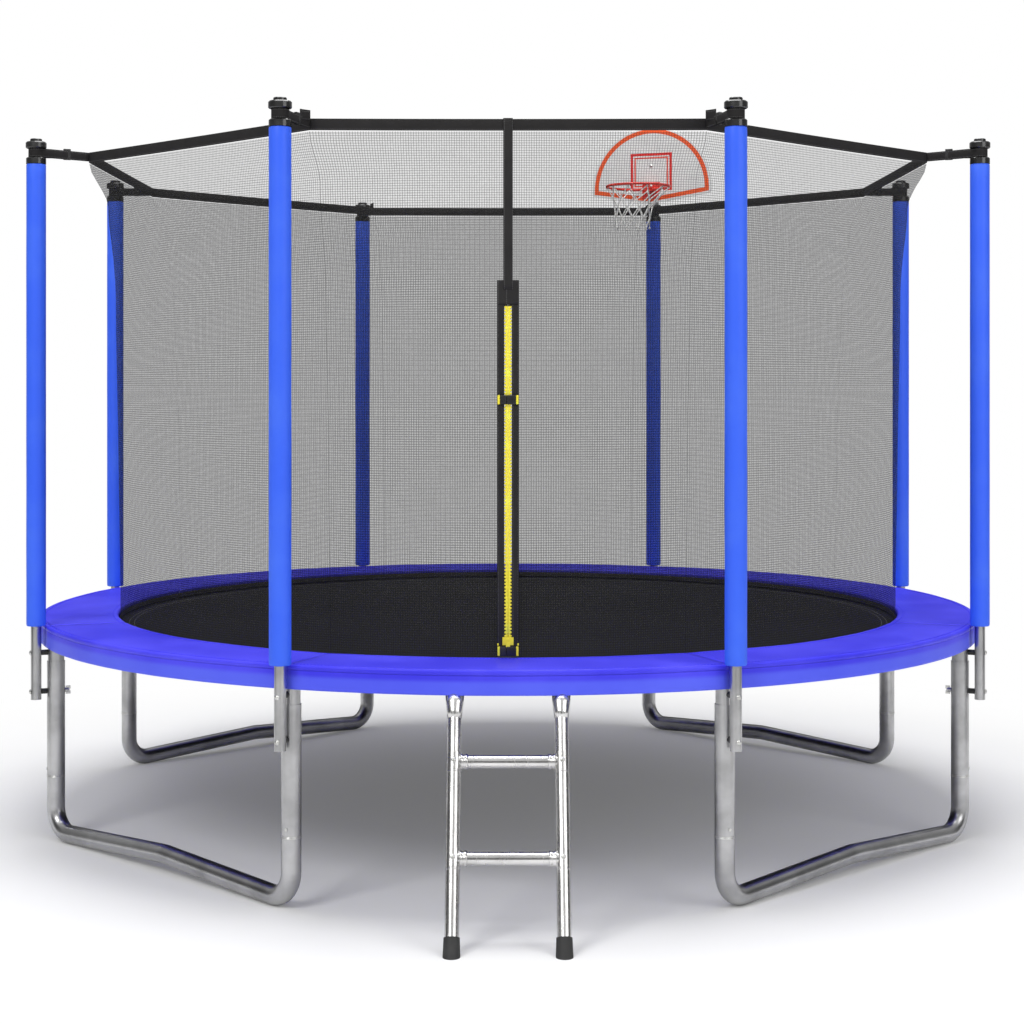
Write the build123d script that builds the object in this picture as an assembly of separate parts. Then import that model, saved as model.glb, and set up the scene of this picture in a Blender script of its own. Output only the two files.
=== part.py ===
from build123d import *
import os
from math import cos, degrees, radians, sin, sqrt, tan

# Round enclosed trampoline: tubular frame, sprung jumping mat, padded edge, net on eight
# padded poles, zipped door, hook-on ladder and a small basketball hoop.
# Millimetres. +Z up, the ground is Z = 0 and Z is the axis of the mat. The door faces -Y.

# ---------------------------------------------------------------- driving dimensions
SIDES = 8
PITCH = 360.0 / SIDES
FIT = 0.3  # clearance between tubes that slide into each other
HAIR = 0.1  # clearance between faces that are bolted or sewn together

# frame
RAIL_RADIUS = 1800.0  # centre line of the round top rail
RAIL_HEIGHT = 740.0  # centre line above the ground
RAIL_TUBE_R = 24.5
RAIL_WALL = 2.0
RAIL_END_GAP = 2.0
SLEEVE_WALL = 3.0  # T joint round the rail
SLEEVE_LENGTH = 130.0
STUB_R = 29.5  # T joint's downward stub
STUB_WALL = 2.5
LEG_TUBE_R = 32.5
LEG_WALL = 2.4
LEG_DROP = 84.0  # top of the uprights below the rail's centre line
LEG_TOP = RAIL_HEIGHT - LEG_DROP
STUB_REACH = 90.0  # of a T joint's stub inside its upright
STUB_BOTTOM = LEG_TOP - STUB_REACH
BASE_JOINT_HEIGHT = 235.0  # where the uprights stand on the bases
BASE_BEND_R = 90.0
BASE_KINK_SLOPE = 2.8  # degrees, rise of the ground bar to its middle
BASE_KINK_R = 300.0
SPIGOT_LENGTH = 70.0
SNAP_PIN_R = 5.0
SNAP_PIN_RISE = 27.0
SNAP_PIN_HEIGHT = BASE_JOINT_HEIGHT + SNAP_PIN_RISE

# pole bolts
BOLT_OFFSETS = (19.0, 33.0)  # below the stub's end, and above the upright's top
BOLT_HEIGHTS = (STUB_BOTTOM - BOLT_OFFSETS[0], LEG_TOP + BOLT_OFFSETS[1])
BOLT_R = 4.0
BOLT_HEAD_R = 9.0
BOLT_HEAD_RISE = 6.0
SPACER_R = 10.0
SPACER_LENGTH = 20.5  # between an upright and its pole
NUT_R = 8.0
NUT_LENGTH = 12.0
WING_SPAN = 30.0
WING_THICK = 4.0
BOLT_PAST_NUT = 4.0

# net poles
POLE_TUBE_R = 19.0
POLE_RADIUS = RAIL_RADIUS + LEG_TUBE_R + SPACER_LENGTH + POLE_TUBE_R  # from the mat axis
POLE_WALL = 1.5
POLE_END_DROP = 29.0  # below the lower bolt
POLE_BOTTOM = BOLT_HEIGHTS[0] - POLE_END_DROP
POLE_SPLICE = 1500.0
POLE_SPLICE_REACH = 60.0
POLE_TOP = 2499.0
FOAM_R = 36.0
FOAM_LIFT = 1.0  # over the edge pad
BARE_TOP = 19.0  # bare tube above the foam, inside the cap
FOAM_TOP = POLE_TOP - BARE_TOP
NECK_R = 25.0
FLANGE_R = 37.5
BUTTON_R = 21.5
NECK_BOTTOM = POLE_TOP + 4.0
NECK_LENGTH = 34.0
NECK_TOP = NECK_BOTTOM + NECK_LENGTH
FLANGE_LENGTH = 24.0
FLANGE_TOP = NECK_TOP + FLANGE_LENGTH
BUTTON_LENGTH = 11.0
CAP_TOP = FLANGE_TOP + BUTTON_LENGTH

# mat and springs
WEBBING_WIDTH = 40.0
SPRING_SPACE = 200.0  # from the mat's edge to the rail's centre line
WEBBING_R = RAIL_RADIUS - SPRING_SPACE
MAT_R = WEBBING_R - WEBBING_WIDTH
MAT_RISE = 6.0
MAT_TOP = RAIL_HEIGHT + MAT_RISE
MAT_THICK = 2.0
WEBBING_THICK = 5.0
SPRING_COUNT = 72
SPRING_COIL_R = 11.0
SPRING_WIRE = 1.6
SPRING_HOOK_R = 2.0
SPRING_HOOK_ROOM = (36.0, 40.0)  # from the webbing to the coil, and from the coil to the rail
SPRING_COIL_INNER = WEBBING_R + SPRING_HOOK_ROOM[0]
SPRING_COIL_OUTER = RAIL_RADIUS - SPRING_HOOK_ROOM[1]
RING_WIRE = 4.0
RING_DEPTH = 22.0
RING_WIDTH = 34.0

# edge pad
PAD_OVERLAP = 20.0  # over the edge of the mat cloth
PAD_INNER_R = MAT_R - PAD_OVERLAP
PAD_REACH = 38.0  # past the rail's centre line
PAD_OUTER_R = RAIL_RADIUS + PAD_REACH
PAD_RISE = 47.0
PAD_TOP = RAIL_HEIGHT + PAD_RISE
FOAM_BOTTOM = PAD_TOP + FOAM_LIFT
PAD_THICK = 22.0  # over the springs; it is thinner where it lies on the rail
PAD_STEP_R = RAIL_RADIUS - 50.0
PAD_LIP_DROP = 7.0
PAD_EDGE_ROUND = 9.0
SKIRT_THICK = 4.0
SKIRT_DROP = 32.0
SKIRT_BOTTOM = RAIL_HEIGHT - SKIRT_DROP
SECTOR_GAP = 1.2

# net
NET_THICK = 3.0
NET_LIFT = 7.0  # over the mat
NET_BOTTOM = MAT_TOP + NET_LIFT
NET_LEAN = 12.1  # the net's top leans outwards past the pad's inner edge at mid-panel
BAND_CORNER_R = (PAD_INNER_R + NET_LEAN) / cos(radians(PITCH / 2))
BAND_THICK = 4.0
BAND_WIDTH = 43.0
BAND_DROP = 5.0  # below the top of the caps' necks
BAND_TOP = NECK_TOP - BAND_DROP
BAND_BOTTOM = BAND_TOP - BAND_WIDTH
FLARE_LENGTH = 499.0
NET_BREAK = BAND_BOTTOM - FLARE_LENGTH  # the net is nearly round below and flares above
NET_CORNER_R = (PAD_INNER_R - 9.0, PAD_INNER_R + 25.0, BAND_CORNER_R - 2.0)
NET_MIDDLE_R = (PAD_INNER_R - 7.0, PAD_INNER_R + 5.0)
PANEL_GAP = 0.04  # degrees between neighbouring panels
STRAP_BOTTOM = NECK_BOTTOM + 1.0
STRAP_TOP = NECK_TOP - 1.0
STRAP_THICK = 2.5
BUCKLE_FROM_POLE = 112.0
BUCKLE_RADIUS = POLE_RADIUS - BUCKLE_FROM_POLE
BUCKLE_SIZE = (26.0, 9.0, 40.0)
TAIL_LENGTH = 62.0
TAIL_RISE = 18.0  # above the strap it comes from
TAIL_WIDTH = 34.0
TAIL_ANGLES = (-112.5, -67.5, 112.5)

# zipped door
DOOR_LAYER = 2.5  # thickness of each layer of cloth
DOOR_PIVOT_HEIGHT = NET_BREAK - 30.0
DOOR_HALF_OPENING = 250.0
DOOR_LIFT = 13.0  # over the edge pad
DOOR_BOTTOM = PAD_TOP + DOOR_LIFT
DOOR_OVERLAP = 20.0
DOOR_TOP_HALF = 14.0
TEETH_WIDTH = 12.0
TEETH_GAP = 0.3
ZIP_TOP = DOOR_PIVOT_HEIGHT - 36.0
ZIP_BOTTOM = DOOR_BOTTOM + 40.0
STRIP_HALF = 35.0
NARROW_BAND_HALF = 15.5
WIDE_BAND_TOP = DOOR_PIVOT_HEIGHT + 48.0
WIDE_BAND_BOTTOM = ZIP_TOP + 6.0
SLIDER_BOTTOM = ZIP_BOTTOM - 13.0
SLIDER_HEIGHT = 26.0
SLIDER_HALF = 18.0
SLIDER_BACK_HALF = 10.0
SLIDER_PLATE = 3.0
DIVIDER_HALF = 1.5
DIVIDER_HEIGHT = 4.0
CLASP_HEIGHTS = {"upper": DOOR_PIVOT_HEIGHT - 339.0, "lower": DOOR_BOTTOM + 8.0}
CLASP_HALF_HEIGHT = 15.0
CLASP_DEPTH = 10.0
CLASP_WALL = 2.0
CLASP_MOUTH = -5.0
CLASP_END = 26.0
CLASP_PLAY = 1.8
PRONG_REACH = 20.0
TAB_WIDTH = 8.0

# ladder
LADDER_HALF_WIDTH = 165.0
LADDER_LEAN = 27.2  # degrees from upright
LADDER_TUBE_R = 21.5
LADDER_WALL = 1.5
LADDER_TOP_REACH = 52.0  # from the rail centre to the end of the round tube
RUNG_HEIGHTS = (518.0, 255.0)
RUNG_R = 20.0
RUNG_WALL = 1.5
SADDLE_WALL = 2.0
SADDLE_HALF_HEIGHT = 27.0
SPLICE_BELOW_RUNG = 34.0
HOOK_INNER_R = 27.0
HOOK_OUTER_R = 31.3
HOOK_HALF_WIDTH = 18.0
HOOK_PAST_TOP = 40.0  # degrees beyond the top of the rail
HOOK_NECK_THICK = 11.0
FOOT_TOP_R = 24.0
FOOT_BOTTOM_R = 28.0
FOOT_HEIGHT = 55.0
LADDER_BOLT_R = 3.0

# basketball hoop
HOOP_ANGLE = 67.5
BOARD_FROM_POLE = 31.0
BOARD_RADIUS = POLE_RADIUS - BOARD_FROM_POLE
BOARD_WIDTH = 610.0
BOARD_BOTTOM = FLANGE_TOP + 2.0
BOARD_STRAIGHT = 73.0  # from its lowest point to the centre of the half-round top
BOARD_ARC_HEIGHT = BOARD_BOTTOM + BOARD_STRAIGHT
BOARD_V_RISE = 46.0
BOARD_THICK = 8.0
HOOP_RING_R = 150.0
HOOP_ARM = 55.0  # from the ring to the board
HOOP_RADIUS = BOARD_RADIUS - HOOP_ARM - HOOP_RING_R  # ring centre from the mat axis
HOOP_HEIGHT = BOARD_BOTTOM + 66.0
HOOP_WIRE_R = 8.0
HOOP_NET_LENGTH = 180.0
HOOP_NET_MOUTH_R = 85.0
HOOP_NET_WAIST_R = 92.0
HOOP_NET_THICK = 3.0
HOOP_NET_PUSH = 90.0  # the net hangs this far inwards, off the enclosure's top band
POST_R = 12.0
POST_WALL = 1.5
POST_TOP = BOARD_BOTTOM + 237.0
POST_CUP_WALL = 4.0
CLAMP_HEIGHTS = (BOARD_BOTTOM + 87.0, BOARD_BOTTOM + 187.0)
CLAMP_SIZE = (24.0, 44.0, 24.0)

UP = (Align.CENTER, Align.CENTER, Align.MIN)
pole_angles = [PITCH / 2 + PITCH * i for i in range(SIDES)]
panel_angles = [PITCH * i - 90.0 for i in range(SIDES)]
base_angles = [-135.0, -45.0, 45.0, 135.0]
half_pitch = radians(PITCH / 2)
lean = radians(LADDER_LEAN)
ladder_pivot_y = -sqrt(RAIL_RADIUS**2 - LADDER_HALF_WIDTH**2)
ladder_length = RAIL_HEIGHT / cos(lean)


# ---------------------------------------------------------------- helpers
def around(shape, angles):
    """Copies of a shape built at angle 0, turned about the mat axis to each angle."""
    return [shape.rotate(Axis.Z, angle) for angle in angles]


def rod(radius, length, z=0.0):
    """An upright solid cylinder that starts at height z."""
    return Pos(0, 0, z) * Cylinder(radius, length, align=UP)


def pipe(outer, wall, bottom, top):
    """An upright tube between two heights."""
    return rod(outer, top - bottom, bottom) - rod(outer - wall, top - bottom + 2, bottom - 1)


def radial_rod(radius, inner, outer, height):
    """A solid cylinder along X from one radius to another."""
    return Pos(inner, 0, height) * Rot(0, 90, 0) * Cylinder(radius, outer - inner, align=UP)


def turned(points):
    """A solid turned about Z from a closed outline of (radius, height) points."""
    return revolve(make_face(Plane.XZ * Polyline(*points, close=True)), Axis.Z)


def box(x_range, y_range, z_range):
    """A box given by its limits."""
    size = [high - low for low, high in (x_range, y_range, z_range)]
    return Pos(x_range[0], y_range[0], z_range[0]) * Box(*size, align=(Align.MIN,) * 3)


def arc_solid(face, start, sweep):
    """A face in the XZ plane turned about the mat axis over part of a circle."""
    return revolve(face, Axis.Z, revolution_arc=sweep).rotate(Axis.Z, start)


def rail_section(outer, inner):
    """The ring-shaped section of the top rail or of a sleeve round it."""
    ring = Circle(outer) - Circle(inner) if inner else Circle(outer)
    return Plane.XZ * Pos(RAIL_RADIUS, RAIL_HEIGHT) * ring


# ---------------------------------------------------------------- frame
def rail_segments():
    gap = degrees(RAIL_END_GAP / RAIL_RADIUS)
    arc = arc_solid(rail_section(RAIL_TUBE_R, RAIL_TUBE_R - RAIL_WALL), gap / 2, PITCH - gap)
    return around(arc, pole_angles)


def t_joints():
    sleeve_r = RAIL_TUBE_R + FIT + SLEEVE_WALL
    sweep = degrees(SLEEVE_LENGTH / RAIL_RADIUS)
    sleeve = arc_solid(rail_section(sleeve_r, 0), -sweep / 2, sweep)
    bore = arc_solid(rail_section(RAIL_TUBE_R + FIT, 0), -sweep, 2 * sweep)
    stub = Pos(RAIL_RADIUS, 0, 0) * rod(STUB_R, RAIL_HEIGHT - STUB_BOTTOM, STUB_BOTTOM)
    hollow_top = RAIL_HEIGHT - sleeve_r - STUB_WALL
    hollow = rod(STUB_R - STUB_WALL, hollow_top - STUB_BOTTOM + 1, STUB_BOTTOM - 1)
    joint = sleeve + stub - Pos(RAIL_RADIUS, 0, 0) * hollow - bore
    joint -= radial_rod(BOLT_R + FIT, RAIL_RADIUS - 50, RAIL_RADIUS + 50, BOLT_HEIGHTS[1])
    return around(joint, pole_angles)


def leg_uprights():
    leg = Pos(RAIL_RADIUS, 0, 0) * pipe(LEG_TUBE_R, LEG_WALL, BASE_JOINT_HEIGHT, LEG_TOP)
    leg -= radial_rod(BOLT_R + FIT, RAIL_RADIUS - 50, RAIL_RADIUS + 50, BOLT_HEIGHTS[0])
    leg -= radial_rod(SNAP_PIN_R + FIT, RAIL_RADIUS, RAIL_RADIUS + 50, SNAP_PIN_HEIGHT)
    return around(leg, pole_angles)


def leg_bases():
    slope = radians(BASE_KINK_SLOPE)
    half_chord = RAIL_RADIUS * sin(half_pitch)
    plane_x = RAIL_RADIUS * cos(half_pitch)
    corner_z = LEG_TUBE_R + BASE_BEND_R * (1 - 1 / cos(slope) - tan(slope))
    kink_z = corner_z + half_chord * tan(slope)
    path = FilletPolyline(
        (plane_x, -half_chord, BASE_JOINT_HEIGHT),
        (plane_x, -half_chord, corner_z),
        (plane_x, 0, kink_z),
        (plane_x, half_chord, corner_z),
        (plane_x, half_chord, BASE_JOINT_HEIGHT),
        radius=[BASE_BEND_R, BASE_KINK_R, BASE_BEND_R],
    )
    start = Pos(plane_x, -half_chord, BASE_JOINT_HEIGHT)
    base = sweep(start * (Circle(LEG_TUBE_R) - Circle(LEG_TUBE_R - LEG_WALL)), path=path)
    spigot_r = LEG_TUBE_R - LEG_WALL - FIT
    low = BASE_JOINT_HEIGHT - 2 * LEG_WALL
    spigot = turned([
        (spigot_r - LEG_WALL, low),
        (LEG_TUBE_R - LEG_WALL / 2, low),
        (LEG_TUBE_R - LEG_WALL / 2, BASE_JOINT_HEIGHT),
        (spigot_r, BASE_JOINT_HEIGHT),
        (spigot_r, BASE_JOINT_HEIGHT + SPIGOT_LENGTH),
        (spigot_r - LEG_WALL, BASE_JOINT_HEIGHT + SPIGOT_LENGTH),
    ])
    for side in (-1, 1):
        here = spigot - radial_rod(SNAP_PIN_R + HAIR, 0, 50, SNAP_PIN_HEIGHT).rotate(
            Axis.Z, side * PITCH / 2
        )
        base += Pos(plane_x, side * half_chord, 0) * here
    return around(base, base_angles)


def snap_pins():
    inner = RAIL_RADIUS + LEG_TUBE_R - 3 * LEG_WALL
    pin = radial_rod(SNAP_PIN_R, inner, RAIL_RADIUS + LEG_TUBE_R + 2, SNAP_PIN_HEIGHT)
    return around(pin, pole_angles)


# ---------------------------------------------------------------- net poles
def poles_lower():
    outer, inner = POLE_TUBE_R, POLE_TUBE_R - POLE_WALL
    low, high = POLE_SPLICE - POLE_SPLICE_REACH, POLE_SPLICE + POLE_SPLICE_REACH
    pole = turned([
        (inner, POLE_BOTTOM),
        (outer, POLE_BOTTOM),
        (outer, POLE_SPLICE),
        (inner - FIT, POLE_SPLICE),
        (inner - FIT, high),
        (inner - FIT - POLE_WALL, high),
        (inner - FIT - POLE_WALL, low),
        (inner, low),
    ])
    pole = Pos(POLE_RADIUS, 0, 0) * pole
    for height in BOLT_HEIGHTS:
        pole -= radial_rod(BOLT_R + FIT, POLE_RADIUS - 30, POLE_RADIUS + 30, height)
    return around(pole, pole_angles)


def poles_upper():
    pole = Pos(POLE_RADIUS, 0, 0) * pipe(POLE_TUBE_R, POLE_WALL, POLE_SPLICE, POLE_TOP)
    return around(pole, pole_angles)


def foam_sleeves():
    wall = FOAM_R - POLE_TUBE_R - FIT
    sleeve = Pos(POLE_RADIUS, 0, 0) * pipe(FOAM_R, wall, FOAM_BOTTOM, FOAM_TOP)
    return around(sleeve, pole_angles)


def pole_caps():
    bore = POLE_TUBE_R + FIT
    cap = turned([
        (bore, FOAM_TOP),
        (FOAM_R, FOAM_TOP),
        (FOAM_R, NECK_BOTTOM - 3),
        (FOAM_R - 3, NECK_BOTTOM),
        (NECK_R, NECK_BOTTOM),
        (NECK_R, NECK_TOP),
        (FLANGE_R - 3, NECK_TOP),
        (FLANGE_R, NECK_TOP + 3),
        (FLANGE_R, FLANGE_TOP - 4),
        (FLANGE_R - 4, FLANGE_TOP),
        (BUTTON_R, FLANGE_TOP),
        (BUTTON_R, CAP_TOP - 2),
        (BUTTON_R - 2, CAP_TOP),
        (0, CAP_TOP),
        (0, POLE_TOP),
        (bore, POLE_TOP),
    ])
    return around(Pos(POLE_RADIUS, 0, 0) * cap, pole_angles)


def clamp_face(height):
    """Radius of the frame tube that a pole bolt passes through at this height."""
    return LEG_TUBE_R if height < LEG_TOP else STUB_R


def pole_spacers():
    spacers = []
    for height in BOLT_HEIGHTS:
        spacer = radial_rod(SPACER_R, RAIL_RADIUS, POLE_RADIUS, height)
        spacer -= radial_rod(BOLT_R + FIT, RAIL_RADIUS - 1, POLE_RADIUS + 1, height)
        low = height - 2 * SPACER_R
        inner_tube = rod(clamp_face(height) + HAIR, 4 * SPACER_R, low)
        outer_tube = rod(POLE_TUBE_R + HAIR, 4 * SPACER_R, low)
        spacer -= Pos(RAIL_RADIUS, 0, 0) * inner_tube
        spacer -= Pos(POLE_RADIUS, 0, 0) * outer_tube
        spacers += around(spacer, pole_angles)
    return spacers


def pole_bolts():
    bolts = []
    seat = POLE_RADIUS + POLE_TUBE_R + HAIR
    head = Pos(seat, 0, 0) * Rot(0, 90, 0) * turned([
        (0, 0),
        (BOLT_HEAD_R, 0),
        (BOLT_HEAD_R, 1.5),
        (0.75 * BOLT_HEAD_R, 0.7 * BOLT_HEAD_RISE),
        (0.35 * BOLT_HEAD_R, BOLT_HEAD_RISE),
        (0, BOLT_HEAD_RISE),
    ])
    for height in BOLT_HEIGHTS:
        end = RAIL_RADIUS - clamp_face(height) - HAIR - NUT_LENGTH - BOLT_PAST_NUT
        bolt = radial_rod(BOLT_R, end, seat, height) + Pos(0, 0, height) * head
        bolts += around(bolt, pole_angles)
    return bolts


def wing_nuts():
    nuts = []
    for height in BOLT_HEIGHTS:
        seat = RAIL_RADIUS - clamp_face(height) - HAIR
        nut = radial_rod(NUT_R, seat - NUT_LENGTH, seat, height)
        wing = (seat - NUT_LENGTH - 8, seat - 3)
        half = WING_THICK / 2
        nut += box(wing, (-half, half), (height - WING_SPAN / 2, height + WING_SPAN / 2))
        nut -= radial_rod(BOLT_R + HAIR, seat - 50, seat + 1, height)
        nuts += around(nut, pole_angles)
    return nuts


# ---------------------------------------------------------------- mat and springs
spring_angles = [(i + 0.5) * 360.0 / SPRING_COUNT for i in range(SPRING_COUNT)]
spring_height = MAT_TOP - MAT_THICK / 2


def mat():
    return [rod(MAT_R, MAT_THICK, MAT_TOP - MAT_THICK)]


def mat_edge_webbing():
    half = WEBBING_THICK / 2
    width = WEBBING_WIDTH - 2 * HAIR
    return [pipe(WEBBING_R, width, spring_height - half, spring_height + half)]


def v_rings():
    base_x = WEBBING_R + HAIR
    tip_x = base_x + RING_DEPTH
    inset = RING_WIRE
    outer = Polyline((base_x, -RING_WIDTH / 2), (tip_x, 0), (base_x, RING_WIDTH / 2), close=True)
    inner = Polyline(
        (base_x + inset, -RING_WIDTH / 2 + 2 * inset),
        (tip_x - 1.8 * inset, 0),
        (base_x + inset, RING_WIDTH / 2 - 2 * inset),
        close=True,
    )
    face = make_face(outer) - make_face(inner)
    ring = Pos(0, 0, spring_height - RING_WIRE / 2) * extrude(face, RING_WIRE)
    return around(ring, spring_angles)


def spring(rail_face):
    """One spring at angle 0, hooked between its ring and a tube face at the given radius."""
    ring_tip = WEBBING_R + HAIR + RING_DEPTH + HAIR
    spring = radial_rod(SPRING_COIL_R, SPRING_COIL_INNER, SPRING_COIL_OUTER, 0)
    hollow_r = SPRING_COIL_R - SPRING_WIRE
    spring -= radial_rod(hollow_r, SPRING_COIL_INNER - 1, SPRING_COIL_OUTER + 1, 0)
    for hook_start, hook_end, bar_x in (
        (ring_tip, SPRING_COIL_INNER + SPRING_HOOK_R, SPRING_COIL_INNER),
        (SPRING_COIL_OUTER - SPRING_HOOK_R, rail_face, SPRING_COIL_OUTER - 2 * SPRING_HOOK_R),
    ):
        reach = hollow_r + SPRING_WIRE / 2
        across = (bar_x, bar_x + 2 * SPRING_HOOK_R)
        spring += box(across, (-reach, reach), (-SPRING_HOOK_R, SPRING_HOOK_R))
        spring += radial_rod(SPRING_HOOK_R, hook_start, hook_end, 0)
    return Pos(0, 0, spring_height) * spring


def springs():
    rail_face = RAIL_RADIUS - RAIL_TUBE_R - HAIR
    at_joint = spring(rail_face - FIT - SLEEVE_WALL)
    between = spring(rail_face)
    half_sleeve = degrees((SLEEVE_LENGTH / 2 + SPRING_COIL_R) / RAIL_RADIUS)
    placed = []
    for angle in spring_angles:
        off_joint = abs((angle - pole_angles[0] + PITCH / 2) % PITCH - PITCH / 2)
        placed += around(at_joint if off_joint < half_sleeve else between, [angle])
    return placed


# ---------------------------------------------------------------- edge pad
pad_seat = RAIL_HEIGHT + RAIL_TUBE_R + FIT + SLEEVE_WALL + FIT  # just over the T joints


def sector(outline):
    """One of the eight sectors of a ring with the given (radius, height) outline."""
    gap = degrees(SECTOR_GAP / PAD_OUTER_R)
    face = make_face(Plane.XZ * Polyline(*outline, close=True))
    return arc_solid(face, -PITCH / 2 + gap / 2, PITCH - gap)


def pad_sections():
    step = PAD_EDGE_ROUND * (1 - cos(radians(45)))
    cushion = sector([
        (PAD_INNER_R, PAD_TOP - PAD_THICK - PAD_LIP_DROP),
        (PAD_INNER_R + 2 * PAD_EDGE_ROUND, PAD_TOP - PAD_THICK),
        (PAD_STEP_R, PAD_TOP - PAD_THICK),
        (PAD_STEP_R + PAD_EDGE_ROUND, pad_seat),
        (PAD_OUTER_R, pad_seat),
        (PAD_OUTER_R, PAD_TOP - PAD_EDGE_ROUND),
        (PAD_OUTER_R - step, PAD_TOP - step),
        (PAD_OUTER_R - PAD_EDGE_ROUND, PAD_TOP),
        (PAD_INNER_R + PAD_EDGE_ROUND, PAD_TOP),
        (PAD_INNER_R + step, PAD_TOP - step),
        (PAD_INNER_R, PAD_TOP - PAD_EDGE_ROUND),
    ])
    sections = around(cushion, panel_angles)
    for side in (-1, 1):  # room for the ladder's hooks under the front section
        room = Rot(0, 90, 0) * Cylinder(HOOK_OUTER_R + FIT, 2 * (HOOK_HALF_WIDTH + FIT))
        at = (side * LADDER_HALF_WIDTH, ladder_pivot_y, RAIL_HEIGHT)
        sections[0] -= Pos(*at) * room
    return sections


def skirt():
    inner = PAD_OUTER_R - SKIRT_THICK
    return sector([
        (inner, SKIRT_BOTTOM),
        (PAD_OUTER_R, SKIRT_BOTTOM),
        (PAD_OUTER_R, pad_seat),
        (inner, pad_seat),
    ])


# ---------------------------------------------------------------- net
def net_section(corner_r, middle_r, height):
    """A slice of one net panel: an arc, or a straight chord where middle_r is None."""
    half = half_pitch - radians(PANEL_GAP / 2)
    ends, edges = [], []
    for side in (-1, 1):
        offset = side * NET_THICK / 2
        x, y = (corner_r + offset) * cos(half), (corner_r + offset) * sin(half)
        low, high = (x, -y, height), (x, y, height)
        if middle_r is None:
            edges.append(Line(low, high))
        else:
            edges.append(ThreePointArc(low, (middle_r + offset, 0, height), high))
        ends.append((low, high))
    edges.append(Line(ends[0][0], ends[1][0]))
    edges.append(Line(ends[0][1], ends[1][1]))
    return make_face(edges)


def net_panel():
    return loft([
        net_section(NET_CORNER_R[0], NET_MIDDLE_R[0], NET_BOTTOM),
        net_section(NET_CORNER_R[1], NET_MIDDLE_R[1], NET_BREAK),
        net_section(NET_CORNER_R[2], None, BAND_BOTTOM),
    ], ruled=True)


def net_front_panel():
    outline = Polyline(
        (-DOOR_TOP_HALF, DOOR_PIVOT_HEIGHT),
        (DOOR_TOP_HALF, DOOR_PIVOT_HEIGHT),
        (DOOR_HALF_OPENING, DOOR_BOTTOM),
        (-DOOR_HALF_OPENING, DOOR_BOTTOM),
        close=True,
    )
    cut = extrude(Plane.XZ * make_face(outline), -2 * NET_MIDDLE_R[0])
    return net_panel().rotate(Axis.Z, -90) - cut.rotate(Axis.Z, 180)


def octagon_ring(corner_r, thick, bottom, top):
    """An upright eight-sided band with its corners at the pole angles."""
    face = RegularPolygon(corner_r, SIDES) - RegularPolygon(corner_r - thick, SIDES)
    ring = extrude(Pos(0, 0, bottom) * face, top - bottom)
    corner = max(ring.vertices(), key=lambda v: v.X)
    turn = 0.0 if abs(corner.Y) > 1 else PITCH / 2
    return ring.rotate(Axis.Z, turn)


def corner_straps():
    height = STRAP_TOP - STRAP_BOTTOM
    loop_r = NECK_R + FIT
    loop = pipe(loop_r + STRAP_THICK, STRAP_THICK, STRAP_BOTTOM, STRAP_TOP)
    start, end = BAND_CORNER_R + HAIR, POLE_RADIUS - loop_r - STRAP_THICK / 2
    half = STRAP_THICK / 2
    strap = Pos(POLE_RADIUS, 0, 0) * loop
    strap += box((start, end), (-half, half), (STRAP_BOTTOM, STRAP_BOTTOM + height))
    return around(strap, pole_angles)


def strap_adjusters():
    long, deep, tall = BUCKLE_SIZE
    middle = (STRAP_BOTTOM + STRAP_TOP) / 2
    slot = (STRAP_TOP - STRAP_BOTTOM) / 2 + HAIR
    across = (BUCKLE_RADIUS - long / 2, BUCKLE_RADIUS + long / 2)
    adjuster = box(across, (-deep / 2, deep / 2), (middle - tall / 2, middle + tall / 2))
    through = (across[0] - 1, across[1] + 1)
    thick = STRAP_THICK / 2 + HAIR
    adjuster -= box(through, (-thick, thick), (middle - slot, middle + slot))
    return around(adjuster, pole_angles)


def strap_tails():
    """Loose strap ends that come back from three adjusters towards the net's corner."""
    near = STRAP_THICK / 2 + HAIR
    end = BUCKLE_RADIUS - BUCKLE_SIZE[0] / 2 - HAIR
    top = STRAP_TOP + TAIL_RISE
    tails = []
    for angle in TAIL_ANGLES:
        side = 1 if cos(radians(angle)) < 0 else -1
        edges = sorted((side * near, side * (near + STRAP_THICK)))
        tail = box((end - TAIL_LENGTH, end), edges, (top - TAIL_WIDTH, top))
        tails.append(tail.rotate(Axis.Z, angle))
    return tails


# ---------------------------------------------------------------- zipped door
panel_front = -(NET_MIDDLE_R[1] + NET_THICK / 2)
flap_back = panel_front - FIT
flap_front = flap_back - DOOR_LAYER
strip_front = flap_front - DOOR_LAYER
cover_back = strip_front - FIT


def mirrored(shapes, side):
    """The shapes as built on the right, or their mirror images on the left."""
    return shapes if side > 0 else [mirror(shape, Plane.YZ) for shape in shapes]


def door_flap(side):
    outline = Polyline(
        (TEETH_WIDTH, DOOR_PIVOT_HEIGHT - 5),
        (DOOR_TOP_HALF + DOOR_OVERLAP, DOOR_PIVOT_HEIGHT - 5),
        (DOOR_HALF_OPENING + DOOR_OVERLAP, DOOR_BOTTOM),
        (TEETH_WIDTH, DOOR_BOTTOM),
        close=True,
    )
    flap = Pos(0, flap_back, 0) * extrude(Plane.XZ * make_face(outline), DOOR_LAYER)
    return mirrored([flap], side)


def door_strip(side):
    top = DOOR_PIVOT_HEIGHT - 5
    strip = box((TEETH_WIDTH, STRIP_HALF), (strip_front, flap_front), (DOOR_BOTTOM, top))
    full = (strip_front, flap_back)
    strip += box((TEETH_GAP, TEETH_WIDTH), full, (ZIP_TOP, top))
    strip += box((3 * DIVIDER_HALF, TEETH_WIDTH), full, (DOOR_BOTTOM, ZIP_BOTTOM))
    return mirrored([strip], side)


def zip_teeth(side):
    teeth = box((TEETH_GAP, TEETH_WIDTH), (strip_front, flap_back), (ZIP_BOTTOM, ZIP_TOP))
    return mirrored([teeth], side)


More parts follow.
